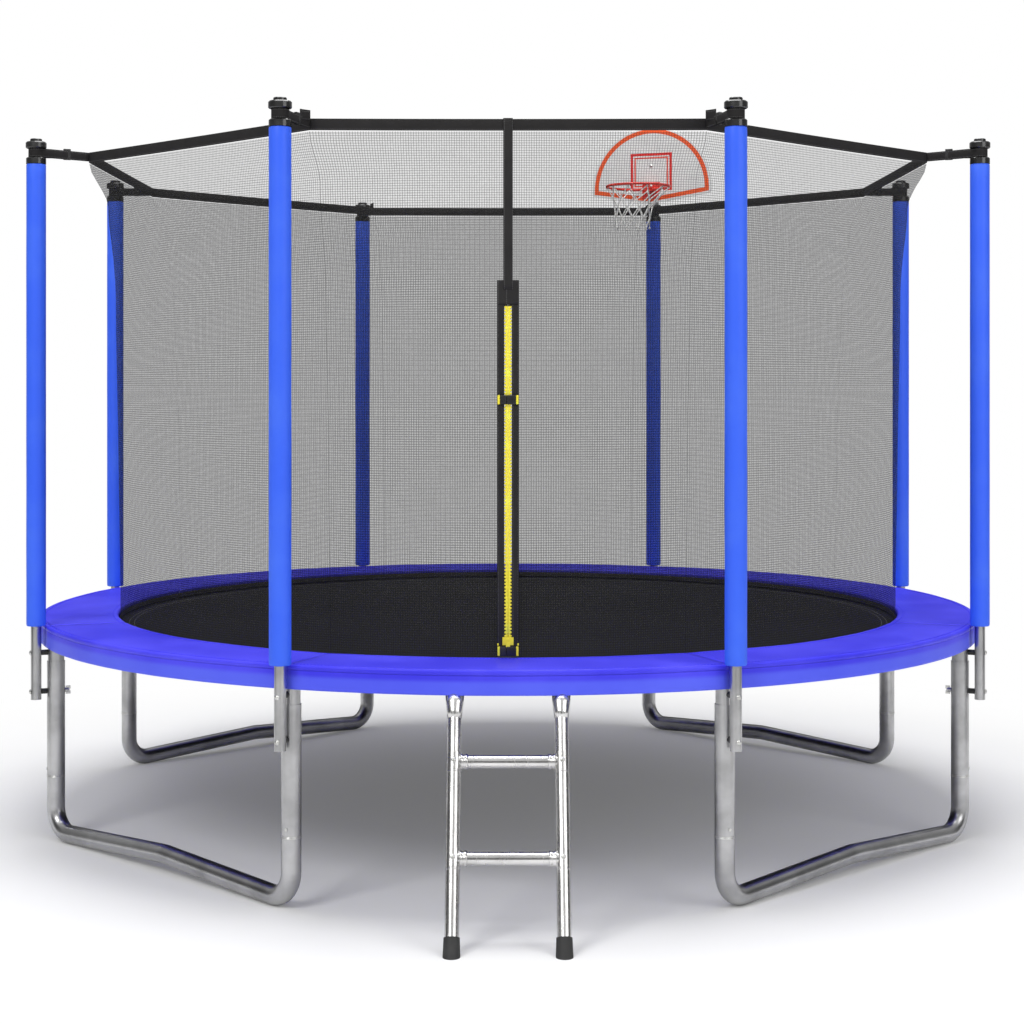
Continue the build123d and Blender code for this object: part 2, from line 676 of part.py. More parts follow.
def zip_slider():
    heights = (SLIDER_BOTTOM, SLIDER_BOTTOM + SLIDER_HEIGHT)
    face = (cover_back - SLIDER_PLATE, cover_back)
    back = (flap_back + FIT, flap_back + FIT + SLIDER_PLATE)
    divider = (SLIDER_BOTTOM, SLIDER_BOTTOM + DIVIDER_HEIGHT)
    slider = box((-SLIDER_HALF, SLIDER_HALF), face, heights)
    slider += box((-SLIDER_BACK_HALF, SLIDER_BACK_HALF), back, heights)
    slider += box((-DIVIDER_HALF, DIVIDER_HALF), (face[0], back[1]), divider)
    pull = (face[0] - SLIDER_PLATE, face[0])
    slider += box((-5, 5), pull, (heights[0] + 4, heights[1] - 4))
    return [slider]


def door_band():
    cover = (cover_back - DOOR_LAYER, cover_back)
    wide = (-STRIP_HALF, STRIP_HALF)
    band = box(wide, cover, (WIDE_BAND_BOTTOM, WIDE_BAND_TOP))
    fill = (cover[0], panel_front - FIT)
    band += box(wide, fill, (DOOR_PIVOT_HEIGHT + 3, WIDE_BAND_TOP))
    narrow_y = -BAND_CORNER_R * cos(half_pitch) - HAIR
    narrow = (narrow_y - DOOR_LAYER, narrow_y)
    band += box((-NARROW_BAND_HALF, NARROW_BAND_HALF), narrow, (WIDE_BAND_TOP - 30, BAND_TOP))
    return [band]


clasp_front = cover_back - CLASP_DEPTH


def clasp_female(height):
    low, high = height - CLASP_HALF_HEIGHT, height + CLASP_HALF_HEIGHT
    body = box((CLASP_MOUTH, CLASP_END), (clasp_front, cover_back), (low, high))
    reach = CLASP_MOUTH + PRONG_REACH + 2
    inside = (clasp_front + CLASP_WALL, cover_back - CLASP_WALL)
    body -= box((CLASP_MOUTH - 1, reach), inside, (low + CLASP_WALL, high - CLASP_WALL))
    return [body]


def clasp_male(height):
    low, high = height - CLASP_HALF_HEIGHT, height + CLASP_HALF_HEIGHT
    mouth = CLASP_MOUTH - FIT
    body = box((-CLASP_END, mouth), (clasp_front, cover_back), (low, high))
    play = CLASP_WALL + FIT
    depth = (clasp_front + play, cover_back - play)
    edge = CLASP_WALL + CLASP_PLAY
    for inner, outer in ((low + edge, low + edge + 5), (high - edge - 5, high - edge)):
        body += box((mouth - 1, mouth + PRONG_REACH), depth, (inner, outer))
    return [body]


def clasp_tab(height, side):
    reach = (CLASP_END, CLASP_END + TAB_WIDTH)
    low, high = height - CLASP_HALF_HEIGHT, height + CLASP_HALF_HEIGHT
    return mirrored([box(reach, (clasp_front + 2, cover_back), (low, high))], side)


def zip_stops():
    """Two small stops sewn to the strips below the closed slider."""
    front = (strip_front - DOOR_LAYER, strip_front)
    lower = CLASP_HEIGHTS["lower"] + CLASP_HALF_HEIGHT
    stop = box((TEETH_WIDTH + SLIDER_HALF, STRIP_HALF), front, (lower + 3, lower + 10))
    return stop


# ---------------------------------------------------------------- ladder
def along(height):
    """Distance down the ladder from its pivot to the given height above the ground."""
    return (RAIL_HEIGHT - height) / cos(lean)


def place_ladder(shape):
    """Moves a shape built hanging straight down from the origin to the leaning ladder."""
    return Pos(0, ladder_pivot_y, RAIL_HEIGHT) * shape.rotate(Axis.X, -LADDER_LEAN)


def ladder_rail(top, bottom):
    """One stretch of both side tubes, between two distances down the ladder."""
    tube = pipe(LADDER_TUBE_R, LADDER_WALL, -bottom, -top)
    for height in RUNG_HEIGHTS:
        drill = Rot(90, 0, 0) * Cylinder(LADDER_BOLT_R + FIT, 4 * LADDER_TUBE_R)
        if top < along(height) < bottom:
            tube -= Pos(0, 0, -along(height)) * drill
    return [place_ladder(Pos(side * LADDER_HALF_WIDTH, 0, 0) * tube) for side in (-1, 1)]


def ladder_rungs():
    rungs = []
    saddle_r = LADDER_TUBE_R + HAIR + SADDLE_WALL
    for height in RUNG_HEIGHTS:
        rung = Rot(0, 90, 0) * Cylinder(RUNG_R, 2 * LADDER_HALF_WIDTH)
        for side in (-1, 1):
            saddle = Cylinder(saddle_r, 2 * SADDLE_HALF_HEIGHT)
            rung += Pos(side * LADDER_HALF_WIDTH, 0, 0) * saddle
        rung -= Rot(0, 90, 0) * Cylinder(RUNG_R - RUNG_WALL, 2 * LADDER_HALF_WIDTH)
        for side in (-1, 1):
            at = Pos(side * LADDER_HALF_WIDTH, 0, 0)
            rung -= at * Cylinder(LADDER_TUBE_R + HAIR, 4 * SADDLE_HALF_HEIGHT)
            keep_out = Box(2 * saddle_r, 4 * saddle_r, 4 * SADDLE_HALF_HEIGHT)
            rung -= at * Pos(side * (saddle_r + LADDER_TUBE_R / 3), 0, 0) * keep_out
            rung -= at * Rot(90, 0, 0) * Cylinder(LADDER_BOLT_R + FIT, 4 * LADDER_TUBE_R)
        rungs.append(place_ladder(Pos(0, 0, -along(height)) * rung))
    return rungs


def ladder_bolts():
    seat = LADDER_TUBE_R + SADDLE_WALL + 2 * HAIR
    head = turned([(0, 0), (8, 0), (8, 1.5), (5.6, 4), (2.8, 5), (0, 5)])
    shank = rod(LADDER_BOLT_R, 2 * seat, -2 * seat)
    end = rod(6.0, 4.0, -2 * seat - 4.0)
    bolt = Pos(0, -seat, 0) * Rot(90, 0, 0) * (head + shank + end)
    return [
        place_ladder(Pos(side * LADDER_HALF_WIDTH, 0, -along(height)) * bolt)
        for side in (-1, 1)
        for height in RUNG_HEIGHTS
    ]


def ladder_hooks():
    """Flat hooks that close the tops of the side tubes and wrap over the rail."""
    width = 2 * HOOK_HALF_WIDTH
    ring = Rot(0, 90, 0) * (Cylinder(HOOK_OUTER_R, width) - Cylinder(HOOK_INNER_R, width + 2))
    # the open side of the hook is towards the mat, from the tube round to the hook's tip
    inner_wedge = Polyline(
        (0, 0),
        (0, -4 * HOOK_OUTER_R),
        (4 * HOOK_OUTER_R, -4 * HOOK_OUTER_R),
        (4 * HOOK_OUTER_R, 4 * HOOK_OUTER_R * tan(radians(90 - LADDER_LEAN - HOOK_PAST_TOP))),
        close=True,
    )
    wedge = extrude(Plane.YZ * make_face(inner_wedge), width, both=True)
    middle = (HOOK_INNER_R + HOOK_OUTER_R) / 2
    half = HOOK_NECK_THICK / 2
    across = (-HOOK_HALF_WIDTH, HOOK_HALF_WIDTH)
    neck = box(across, (-half, half), (-LADDER_TOP_REACH, -middle))
    neck -= Rot(0, 90, 0) * Cylinder(HOOK_INNER_R, width + 2)
    plug = rod(LADDER_TUBE_R - LADDER_WALL - HAIR, 30, -LADDER_TOP_REACH - 30)
    lid = rod(LADDER_TUBE_R, 3, -LADDER_TOP_REACH)
    hook = ring - wedge + neck + lid + plug
    return [place_ladder(Pos(side * LADDER_HALF_WIDTH, 0, 0) * hook) for side in (-1, 1)]


def ladder_feet():
    length = ladder_length + 2 * FOOT_BOTTOM_R
    cone = Cone(FOOT_TOP_R, FOOT_BOTTOM_R, FOOT_HEIGHT + 2 * FOOT_BOTTOM_R, align=UP)
    cone = Rot(180, 0, 0) * cone
    foot = Pos(0, 0, -length + FOOT_HEIGHT + 2 * FOOT_BOTTOM_R) * cone
    socket = rod(LADDER_TUBE_R + HAIR, FOOT_HEIGHT + 40, -foot_seat())
    ground = box((-500, 500), (-4000, 0), (-200, 0))
    feet = []
    for side in (-1, 1):
        placed = place_ladder(Pos(side * LADDER_HALF_WIDTH, 0, 0) * (foot - socket))
        feet.append(placed - ground)
    return feet


def foot_seat():
    """Distance down the ladder where the side tube ends inside its foot."""
    return ladder_length - LADDER_TUBE_R * tan(lean) - 6.0


# ---------------------------------------------------------------- basketball hoop
def at_hoop(shapes):
    """Turns shapes built at angle 0 to the pole that carries the hoop."""
    return [shape.rotate(Axis.Z, HOOP_ANGLE) for shape in shapes]


def board_clamp_x():
    return BOARD_RADIUS + BOARD_THICK / 2


def hoop_board():
    half = BOARD_WIDTH / 2
    shoulder = BOARD_BOTTOM + BOARD_V_RISE
    edges = [
        Line((-half, BOARD_ARC_HEIGHT), (-half, shoulder)),
        Line((-half, shoulder), (0, BOARD_BOTTOM)),
        Line((0, BOARD_BOTTOM), (half, shoulder)),
        Line((half, shoulder), (half, BOARD_ARC_HEIGHT)),
        ThreePointArc(
            (half, BOARD_ARC_HEIGHT), (0, BOARD_ARC_HEIGHT + half), (-half, BOARD_ARC_HEIGHT)
        ),
    ]
    face = Plane.YZ * make_face(edges)
    board = Pos(BOARD_RADIUS - BOARD_THICK / 2, 0, 0) * extrude(face, BOARD_THICK)
    for height in CLAMP_HEIGHTS:
        hole = radial_rod(BOLT_R + HAIR, BOARD_RADIUS - 50, BOARD_RADIUS + 50, height)
        board -= hole
    return at_hoop([board])


def hoop_ring():
    return at_hoop([Pos(HOOP_RADIUS, 0, HOOP_HEIGHT) * Torus(HOOP_RING_R, HOOP_WIRE_R)])


def hoop_bracket():
    front = BOARD_RADIUS - BOARD_THICK / 2
    plate = box((front - 4, front), (-45, 45), (HOOP_HEIGHT - 40, HOOP_HEIGHT + 40))
    start = HOOP_RADIUS + HOOP_RING_R - HOOP_WIRE_R
    arm = box((start, front - 2), (-22, 22), (HOOP_HEIGHT - HOOP_WIRE_R, HOOP_HEIGHT + 12))
    ring = Pos(HOOP_RADIUS, 0, HOOP_HEIGHT) * Torus(HOOP_RING_R, HOOP_WIRE_R + HAIR)
    keep_out = Pos(HOOP_RADIUS, 0, HOOP_HEIGHT - 50) * rod(HOOP_RING_R - HOOP_WIRE_R, 100)
    bracket = plate + arm - ring - keep_out
    bracket -= radial_rod(BOLT_R + HAIR, front - 50, front + 1, CLAMP_HEIGHTS[0])
    return at_hoop([bracket])


def hoop_net():
    top = HOOP_HEIGHT - HOOP_WIRE_R - HAIR
    waist = top - 0.42 * HOOP_NET_LENGTH
    stages = (
        (top, HOOP_RING_R, 0.0),
        (waist, HOOP_NET_WAIST_R, 0.72),
        (top - HOOP_NET_LENGTH, HOOP_NET_MOUTH_R, 1.0),
    )

    def skin(inset):
        faces = [
            Pos(HOOP_RADIUS - HOOP_NET_PUSH * push, 0, height) * Circle(radius - inset)
            for height, radius, push in stages
        ]
        return loft(faces, ruled=True)

    return at_hoop([skin(0) - skin(HOOP_NET_THICK)])


def hoop_post():
    cup_r = BUTTON_R + FIT + POST_CUP_WALL
    cup_top = CAP_TOP + FIT + POST_CUP_WALL
    post = turned([
        (BUTTON_R + FIT, FLANGE_TOP + HAIR),
        (cup_r, FLANGE_TOP + HAIR),
        (cup_r, cup_top),
        (POST_R, cup_top),
        (POST_R, POST_TOP),
        (POST_R - POST_WALL, POST_TOP),
        (POST_R - POST_WALL, cup_top),
        (0, cup_top),
        (0, CAP_TOP + FIT),
        (BUTTON_R + FIT, CAP_TOP + FIT),
    ])
    post = Pos(POLE_RADIUS, 0, 0) * post
    for height in CLAMP_HEIGHTS:
        post -= radial_rod(BOLT_R + HAIR, POLE_RADIUS - 50, POLE_RADIUS + 50, height)
    return at_hoop([post])


def hoop_clamps():
    clamps = []
    back = board_clamp_x() + HAIR
    for height in CLAMP_HEIGHTS:
        long, wide, tall = CLAMP_SIZE
        block = box(
            (back, POLE_RADIUS), (-wide / 2, wide / 2), (height - tall / 2, height + tall / 2)
        )
        block -= Pos(POLE_RADIUS, 0, height - tall) * rod(POST_R + HAIR, 2 * tall)
        block -= radial_rod(BOLT_R + HAIR, back - 1, POLE_RADIUS, height)
        clamps.append(block)
    return at_hoop(clamps)


def hoop_screws():
    front = BOARD_RADIUS - BOARD_THICK / 2
    back = POLE_RADIUS + POST_R + HAIR
    screws = []
    for height, seat in zip(CLAMP_HEIGHTS, (front - 4 - HAIR, front - HAIR)):
        head = Pos(seat, 0, height) * Rot(0, -90, 0) * turned(
            [(0, 0), (8, 0), (8, 1.5), (5, 4), (0, 5)]
        )
        nut = Pos(back, 0, height) * Rot(0, 90, 0) * extrude(RegularPolygon(7, 6), 6)
        screws.append(radial_rod(BOLT_R, seat, back + 3, height) + head + nut)
    return at_hoop(screws)


# ---------------------------------------------------------------- the whole part
def all_nodes():
    skirts = around(skirt(), panel_angles)
    stop = zip_stops()
    first_splice = along(RUNG_HEIGHTS[0]) + SPLICE_BELOW_RUNG
    second_splice = along(RUNG_HEIGHTS[1]) + SPLICE_BELOW_RUNG
    nodes = {
        "rail_segments": rail_segments(),
        "t_joints": t_joints(),
        "leg_uprights": leg_uprights(),
        "leg_bases": leg_bases(),
        "snap_pins": snap_pins(),
        "poles_lower": poles_lower(),
        "poles_upper": poles_upper(),
        "foam_sleeves": foam_sleeves(),
        "pole_caps": pole_caps(),
        "pole_spacers": pole_spacers(),
        "pole_bolts": pole_bolts(),
        "wing_nuts": wing_nuts(),
        "jumping_mat": mat(),
        "mat_edge_webbing": mat_edge_webbing(),
        "v_rings": v_rings(),
        "springs": springs(),
        "pad_sections": pad_sections(),
        "pad_skirts": skirts[1:],
        "pad_front_skirt": skirts[:1],
        "net_panels": around(net_panel(), panel_angles[1:]),
        "net_front_panel": [net_front_panel()],
        "net_top_band": [octagon_ring(BAND_CORNER_R, BAND_THICK, BAND_BOTTOM, BAND_TOP)],
        "corner_straps": corner_straps(),
        "strap_adjusters": strap_adjusters(),
        "strap_tails": strap_tails(),
        "door_band": door_band(),
        "door_flap_left": door_flap(-1),
        "door_flap_right": door_flap(1),
        "door_strip_left": door_strip(-1),
        "door_strip_right": door_strip(1),
        "zip_teeth_left": zip_teeth(-1),
        "zip_teeth_right": zip_teeth(1),
        "zip_slider": zip_slider(),
        "zip_stop_left": mirrored([stop], -1),
        "zip_stop_right": mirrored([stop], 1),
        "ladder_hooks": ladder_hooks(),
        "ladder_rails_upper": ladder_rail(LADDER_TOP_REACH, first_splice),
        "ladder_rails_middle": ladder_rail(first_splice, second_splice),
        "ladder_rails_lower": ladder_rail(second_splice, foot_seat()),
        "ladder_rungs": ladder_rungs(),
        "ladder_bolts": ladder_bolts(),
        "ladder_feet": ladder_feet(),
        "hoop_board": hoop_board(),
        "hoop_ring": hoop_ring(),
        "hoop_bracket": hoop_bracket(),
        "hoop_net": hoop_net(),
        "hoop_post": hoop_post(),
        "hoop_clamps": hoop_clamps(),
        "hoop_screws": hoop_screws(),
    }
    for name, height in CLASP_HEIGHTS.items():
        nodes[f"{name}_clasp_female"] = clasp_female(height)
        nodes[f"{name}_clasp_tab_right"] = clasp_tab(height, 1)
        nodes[f"{name}_clasp_male"] = clasp_male(height)
        nodes[f"{name}_clasp_tab_left"] = clasp_tab(height, -1)
    return nodes


os.makedirs("parts", exist_ok=True)
for node, shapes in all_nodes().items():
    solids = [solid for shape in shapes for solid in shape.solids()]
    export_step(solids[0] if len(solids) == 1 else Compound(children=solids), f"parts/{node}.step")
    print(node, len(solids))
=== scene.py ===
import logging
from dataclasses import dataclass
from enum import Enum
from math import cos, hypot, pi, radians, sin
from typing import Callable, Iterable, Sequence

import bmesh
import bpy
import numpy as np
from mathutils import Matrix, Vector, noise


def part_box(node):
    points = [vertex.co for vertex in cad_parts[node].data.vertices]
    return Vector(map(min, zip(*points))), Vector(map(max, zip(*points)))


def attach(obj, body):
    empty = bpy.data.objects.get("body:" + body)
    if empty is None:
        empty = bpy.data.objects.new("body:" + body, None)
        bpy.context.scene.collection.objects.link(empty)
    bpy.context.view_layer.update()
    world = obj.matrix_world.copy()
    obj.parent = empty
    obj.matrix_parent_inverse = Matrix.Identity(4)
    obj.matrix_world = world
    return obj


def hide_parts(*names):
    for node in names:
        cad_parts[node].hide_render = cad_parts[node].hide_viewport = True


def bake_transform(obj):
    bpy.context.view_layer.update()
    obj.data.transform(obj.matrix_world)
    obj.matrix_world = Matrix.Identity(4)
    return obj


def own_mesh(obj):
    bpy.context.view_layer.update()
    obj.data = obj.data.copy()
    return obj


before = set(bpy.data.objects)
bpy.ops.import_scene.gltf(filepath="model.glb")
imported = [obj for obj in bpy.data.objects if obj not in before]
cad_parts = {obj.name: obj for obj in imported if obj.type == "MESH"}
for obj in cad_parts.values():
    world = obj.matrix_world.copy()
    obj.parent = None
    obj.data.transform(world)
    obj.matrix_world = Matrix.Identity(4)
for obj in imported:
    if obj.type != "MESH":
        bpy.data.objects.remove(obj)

log = logging.getLogger("trampoline")
CLOTH_MAP = "cloth"
Colour = tuple[float, float, float]
Point = tuple[float, float, float]


# ---------------------------------------------------------------- shader building
class Socket:
    """An output socket of a shader node, with the arithmetic that finishes are written in."""

    def __init__(self, nodes: "Nodes", socket: bpy.types.NodeSocket) -> None:
        """Keeps the node tree and the socket that this value comes from."""
        self.nodes = nodes
        self.socket = socket

    def _with(self, operation: str, *values: "Socket | float") -> "Socket":
        """One Math node on the given values, in order."""
        return self.nodes.math(operation, *values)

    def __add__(self, other: "Socket | float") -> "Socket":
        """The sum."""
        return self._with("ADD", self, other)

    __radd__ = __add__

    def __sub__(self, other: "Socket | float") -> "Socket":
        """The difference."""
        return self._with("SUBTRACT", self, other)

    def __rsub__(self, other: float) -> "Socket":
        """The difference, with a plain number first."""
        return self._with("SUBTRACT", other, self)

    def __mul__(self, other: "Socket | float") -> "Socket":
        """The product."""
        return self._with("MULTIPLY", self, other)

    __rmul__ = __mul__

    def __truediv__(self, other: "Socket | float") -> "Socket":
        """The quotient."""
        return self._with("DIVIDE", self, other)

    def __lt__(self, other: "Socket | float") -> "Socket":
        """1 where this value is the smaller one, else 0."""
        return self._with("LESS_THAN", self, other)

    def __gt__(self, other: "Socket | float") -> "Socket":
        """1 where this value is the larger one, else 0."""
        return self._with("GREATER_THAN", self, other)

    def __abs__(self) -> "Socket":
        """The size without the sign."""
        return self._with("ABSOLUTE", self)

    def either(self, other: "Socket | float") -> "Socket":
        """The larger of the two values."""
        return self._with("MAXIMUM", self, other)

    def both(self, other: "Socket | float") -> "Socket":
        """The smaller of the two values."""
        return self._with("MINIMUM", self, other)

    def repeat(self, pitch: float) -> "Socket":
        """The distance from the middle of the cell, in cells of the given pitch, as 0 to 0.5."""
        return abs(self._with("FRACT", self / pitch) - 0.5)

    def step(self, low: float, high: float) -> "Socket":
        """0 below low, 1 above high, and a smooth rise between them."""
        settings = {"interpolation_type": "SMOOTHSTEP"}
        inputs = {"Value": self, "From Min": low, "From Max": high}
        return self.nodes.add("ShaderNodeMapRange", settings, inputs, "Result")


class Nodes:
    """The node tree of one material."""

    def __init__(self, name: str) -> None:
        """Starts a new material with an empty tree."""
        self.material = bpy.data.materials.new(name)
        self.material.use_nodes = True
        self.tree = self.material.node_tree
        self.tree.nodes.clear()

    def add(
        self,
        kind: str,
        settings: dict[str, object] | None = None,
        inputs: dict[str | int, object] | None = None,
        output: str | int = 0,
    ) -> Socket:
        """Adds one node.

        Args:
            kind: the node's type name.
            settings: properties that are set first.
            inputs: values or links, by socket name or number.
            output: the output socket that is wanted.

        Returns:
            The output socket, ready for arithmetic.
        """
        node = self.tree.nodes.new(kind)
        for name, value in (settings or {}).items():
            setattr(node, name, value)
        for name, value in (inputs or {}).items():
            self.put(node.inputs[name], value)
        if not node.outputs:
            return Socket(self, node.inputs[0])
        return Socket(self, node.outputs[output])

    def put(self, target: bpy.types.NodeSocket, value: object) -> None:
        """Links a socket to an input, or sets the input's own value."""
        if isinstance(value, Socket):
            self.tree.links.new(value.socket, target)
        elif isinstance(value, tuple) and len(value) == 3 and target.type == "RGBA":
            target.default_value = (*value, 1.0)
        else:
            target.default_value = value

    def math(self, operation: str, *values: "Socket | float") -> Socket:
        """A Math node."""
        return self.add("ShaderNodeMath", {"operation": operation}, dict(enumerate(values)))

    def mix(self, factor: "Socket | float", first: object, second: object) -> Socket:
        """Two colours mixed by a factor."""
        settings = {"data_type": "RGBA"}
        return self.add("ShaderNodeMix", settings, {0: factor, 6: first, 7: second}, 2)

    def place(self) -> Socket:
        """The point in the object's own coordinates."""
        return self.add("ShaderNodeTexCoord", output="Object")

    def cloth(self) -> tuple[Socket, Socket]:
        """The distances along and across a cloth piece, in metres, from its own map."""
        uv = self.add("ShaderNodeUVMap", {"uv_map": CLOTH_MAP})
        parts = self.tree.nodes.new("ShaderNodeSeparateXYZ")
        self.put(parts.inputs[0], uv)
        return Socket(self, parts.outputs[0]), Socket(self, parts.outputs[1])

    def axes(self, vector: Socket) -> tuple[Socket, Socket, Socket]:
        """A vector's three numbers."""
        parts = self.tree.nodes.new("ShaderNodeSeparateXYZ")
        self.put(parts.inputs[0], vector)
        x, y, z = (Socket(self, out) for out in parts.outputs)
        return x, y, z

    def stretched(self, scale: Point) -> Socket:
        """The object's coordinates, scaled by a Mapping node."""
        return self.add("ShaderNodeMapping", None, {"Vector": self.place(), "Scale": scale})

    def noise(self, scale: float, detail: float = 3.0, vector: Socket | None = None) -> Socket:
        """A smooth random value from 0 to 1."""
        inputs = {"Vector": vector or self.place(), "Scale": scale, "Detail": detail}
        return self.add("ShaderNodeTexNoise", None, inputs, "Fac")

    def cells(self, scale: float) -> Socket:
        """A random grey for each cell of a cracked pattern."""
        inputs = {"Vector": self.place(), "Scale": scale}
        colour = self.add("ShaderNodeTexVoronoi", None, inputs, "Color")
        return self.axes(colour)[0]

    def bump(self, height: Socket, distance: float, strength: float = 1.0) -> Socket:
        """A normal bent by a height in the range 0 to 1."""
        inputs = {"Height": height, "Distance": distance, "Strength": strength}
        return self.add("ShaderNodeBump", None, inputs, "Normal")

    def surface(self, inputs: dict[str, object]) -> bpy.types.Material:
        """Closes the tree with a Principled shader and returns the material."""
        shader = self.add("ShaderNodeBsdfPrincipled", None, inputs, "BSDF")
        self.add("ShaderNodeOutputMaterial", None, {"Surface": shader})
        return self.material


# ---------------------------------------------------------------- finishes
@dataclass(frozen=True)
class Steel:
    """Zinc-coated steel tube or wire: bright, faintly spangled, with drawn streaks."""

    name: str
    colour: Colour
    slot: str
    roughness: float = 0.24
    spangle: float = 38.0
    streak: Point = (60.0, 60.0, 4.0)

    def make(self) -> bpy.types.Material:
        """Builds the material."""
        nodes = Nodes(self.name)
        crystal = nodes.cells(self.spangle)
        cloud = nodes.noise(9.0)
        drawn = nodes.noise(1.0, 4.0, nodes.stretched(self.streak))
        dark = tuple(0.74 * part for part in self.colour)
        pale = nodes.mix(cloud.step(0.35, 0.7), self.colour, dark)
        grey = nodes.mix(0.05 * crystal, pale, (0.9, 0.9, 0.9))
        rough = self.roughness + 0.08 * drawn + 0.05 * cloud
        return nodes.surface({
            "Base Color": grey,
            "Metallic": 1.0,
            "Roughness": rough,
            "Normal": nodes.bump(drawn + 0.3 * cloud, 0.00012, 0.5),
        })


@dataclass(frozen=True)
class Moulded:
    """Moulded plastic or rubber with a fine grain and rubbed patches."""

    name: str
    colour: Colour
    slot: str
    roughness: float = 0.32
    grain: float = 900.0
    depth: float = 0.00010
    coat: float = 0.0

    def make(self) -> bpy.types.Material:
        """Builds the material."""
        nodes = Nodes(self.name)
        grain = nodes.noise(self.grain, 2.0)
        rubbed = nodes.noise(22.0, 4.0).step(0.45, 0.75)
        worn = tuple(min(1.0, 1.18 * part + 0.012) for part in self.colour)
        return nodes.surface({
            "Base Color": nodes.mix(rubbed, self.colour, worn),
            "Roughness": self.roughness + 0.12 * rubbed + 0.05 * grain,
            "Coat Weight": self.coat,
            "Normal": nodes.bump(grain, self.depth, 0.6),
        })


@dataclass(frozen=True)
class FoamSkin:
    """The smooth blue skin of the foam sleeves, with faint puckers and a matt bloom."""

    name: str
    colour: Colour
    slot: str

    def make(self) -> bpy.types.Material:
        """Builds the material."""
        nodes = Nodes(self.name)
        pucker = nodes.noise(1.0, 3.0, nodes.stretched((34.0, 34.0, 10.0)))
        pores = nodes.noise(520.0, 2.0)
        bloom = nodes.noise(5.0, 3.0).step(0.4, 0.75)
        pale = tuple(min(1.0, 1.15 * part + 0.01) for part in self.colour)
        return nodes.surface({
            "Base Color": nodes.mix(bloom, self.colour, pale),
            "Roughness": 0.42 + 0.10 * bloom + 0.05 * pores,
            "Specular IOR Level": 0.3,
            "Coat Weight": 0.03,
            "Coat Roughness": 0.3,
            "Normal": nodes.bump(pucker + 0.12 * pores, 0.0016, 0.45),
        })


@dataclass(frozen=True)
class Vinyl:
    """Satin coated vinyl: a fine woven backing shows through, and the lower skirt is painted a
    brighter blue, a painted sheen standing in for the front light's highlight.
    """

    name: str
    colour: Colour
    slot: str
    thread: float = 0.0016
    # side: the brighter blue painted on the lower skirt, a painted sheen for the front light's
    # highlight
    side: Colour = (0.115, 0.160, 1.0)
    # rim: between these heights the painted sheen on the skirt fades out upwards
    rim: tuple[float, float] = (0.742, 0.760)

    def make(self) -> bpy.types.Material:
        """Builds the material."""
        nodes = Nodes(self.name)
        along, across = nodes.cloth()
        weave = along.repeat(self.thread) + across.repeat(self.thread)
        crease = nodes.noise(1.0, 4.0, nodes.stretched((7.0, 7.0, 20.0)))
        soft = nodes.noise(3.2, 4.0)
        deep = tuple(0.86 * part for part in self.colour)
        pale = tuple(min(1.0, part + 0.03) for part in self.colour)
        colour = nodes.mix(soft.step(0.3, 0.72), deep, pale)
        # The lower skirt is painted brighter, patchy with the soft noise: a painted sheen
        height = nodes.axes(nodes.place())[2]
        skirt_sheen_mask = (-1.0 * height).step(-self.rim[1], -self.rim[0])
        return nodes.surface({
            "Base Color": nodes.mix(skirt_sheen_mask * (0.45 + 0.55 * soft), colour, self.side),
            "Roughness": 0.36 + 0.16 * soft,
            "Specular IOR Level": 0.22,
            "Coat Weight": 0.04,
            "Coat Roughness": 0.18,
            "Normal": nodes.bump(crease + 0.05 * weave, 0.006, 0.35),
        })


@dataclass(frozen=True)
class Webbing:
    """Woven strap: diagonal ribs across its width and two lines of stitching."""

    name: str
    colour: Colour
    slot: str
    width: float
    rib: float = 0.0022
    stitch: float = 0.006

    def make(self) -> bpy.types.Material:
        """Builds the material."""
        nodes = Nodes(self.name)
        along, across = nodes.cloth()
        rib = (along + across * 0.6).repeat(self.rib)
        cross = (along - across * 0.6).repeat(self.rib)
        middle = abs(across - self.width / 2)
        seam = abs(middle - (self.width / 2 - 0.004)) < 0.0008
        thread = seam * (along.repeat(self.stitch) < 0.34)
        fade = nodes.noise(14.0, 3.0)
        pale = tuple(2.1 * part + 0.015 for part in self.colour)
        cloth = nodes.mix(rib * fade * 1.4, self.colour, pale)
        return nodes.surface({
            "Base Color": nodes.mix(thread, cloth, (0.10, 0.10, 0.10)),
            "Roughness": 0.72 + 0.2 * rib,
            "Specular IOR Level": 0.15,
            "Normal": nodes.bump(rib.either(cross) + thread * 0.6 - 0.4 * seam, 0.0007, 0.8),
        })


@dataclass(frozen=True)
class MatCloth:
    """Tightly woven jumping cloth with a sheen along its threads and rings of stitching."""

    name: str
    slot: str
    thread: float = 0.0032
    rows: tuple[float, ...] = (1.48, 1.50)

    def make(self) -> bpy.types.Material:
        """Builds the material."""
        nodes = Nodes(self.name)
        x, y, _ = nodes.axes(nodes.place())
        warp = x.repeat(self.thread)
        weft = y.repeat(self.thread)
        over = (x.repeat(2 * self.thread) < 0.25) - (y.repeat(2 * self.thread) < 0.25)
        radius = nodes.math("SQRT", x * x + y * y)
        angle = nodes.math("ARCTAN2", y, x)
        line = sum((abs(radius - row) < 0.0012 for row in self.rows[1:]),
                   abs(radius - self.rows[0]) < 0.0012)
        stitch = line * ((angle * self.rows[0]).repeat(0.008) < 0.33)
        worn = nodes.noise(1.4, 4.0).step(0.4, 0.8)
        panel = nodes.noise(1.0, 2.0, nodes.stretched((0.0, 5.0, 0.0)))
        dark = nodes.mix(worn, (0.010, 0.010, 0.010), (0.018, 0.018, 0.018))
        cloth = nodes.mix(abs(over) * 0.5, dark, (0.024, 0.024, 0.024))
        return nodes.surface({
            "Base Color": nodes.mix(stitch, cloth, (0.16, 0.16, 0.16)),
            "Roughness": 0.75 + 0.1 * worn + 0.06 * panel,
            "Specular IOR Level": 0.06,
            "Normal": nodes.bump(warp.either(weft) - 0.5 * line, 0.0008, 0.5),
        })


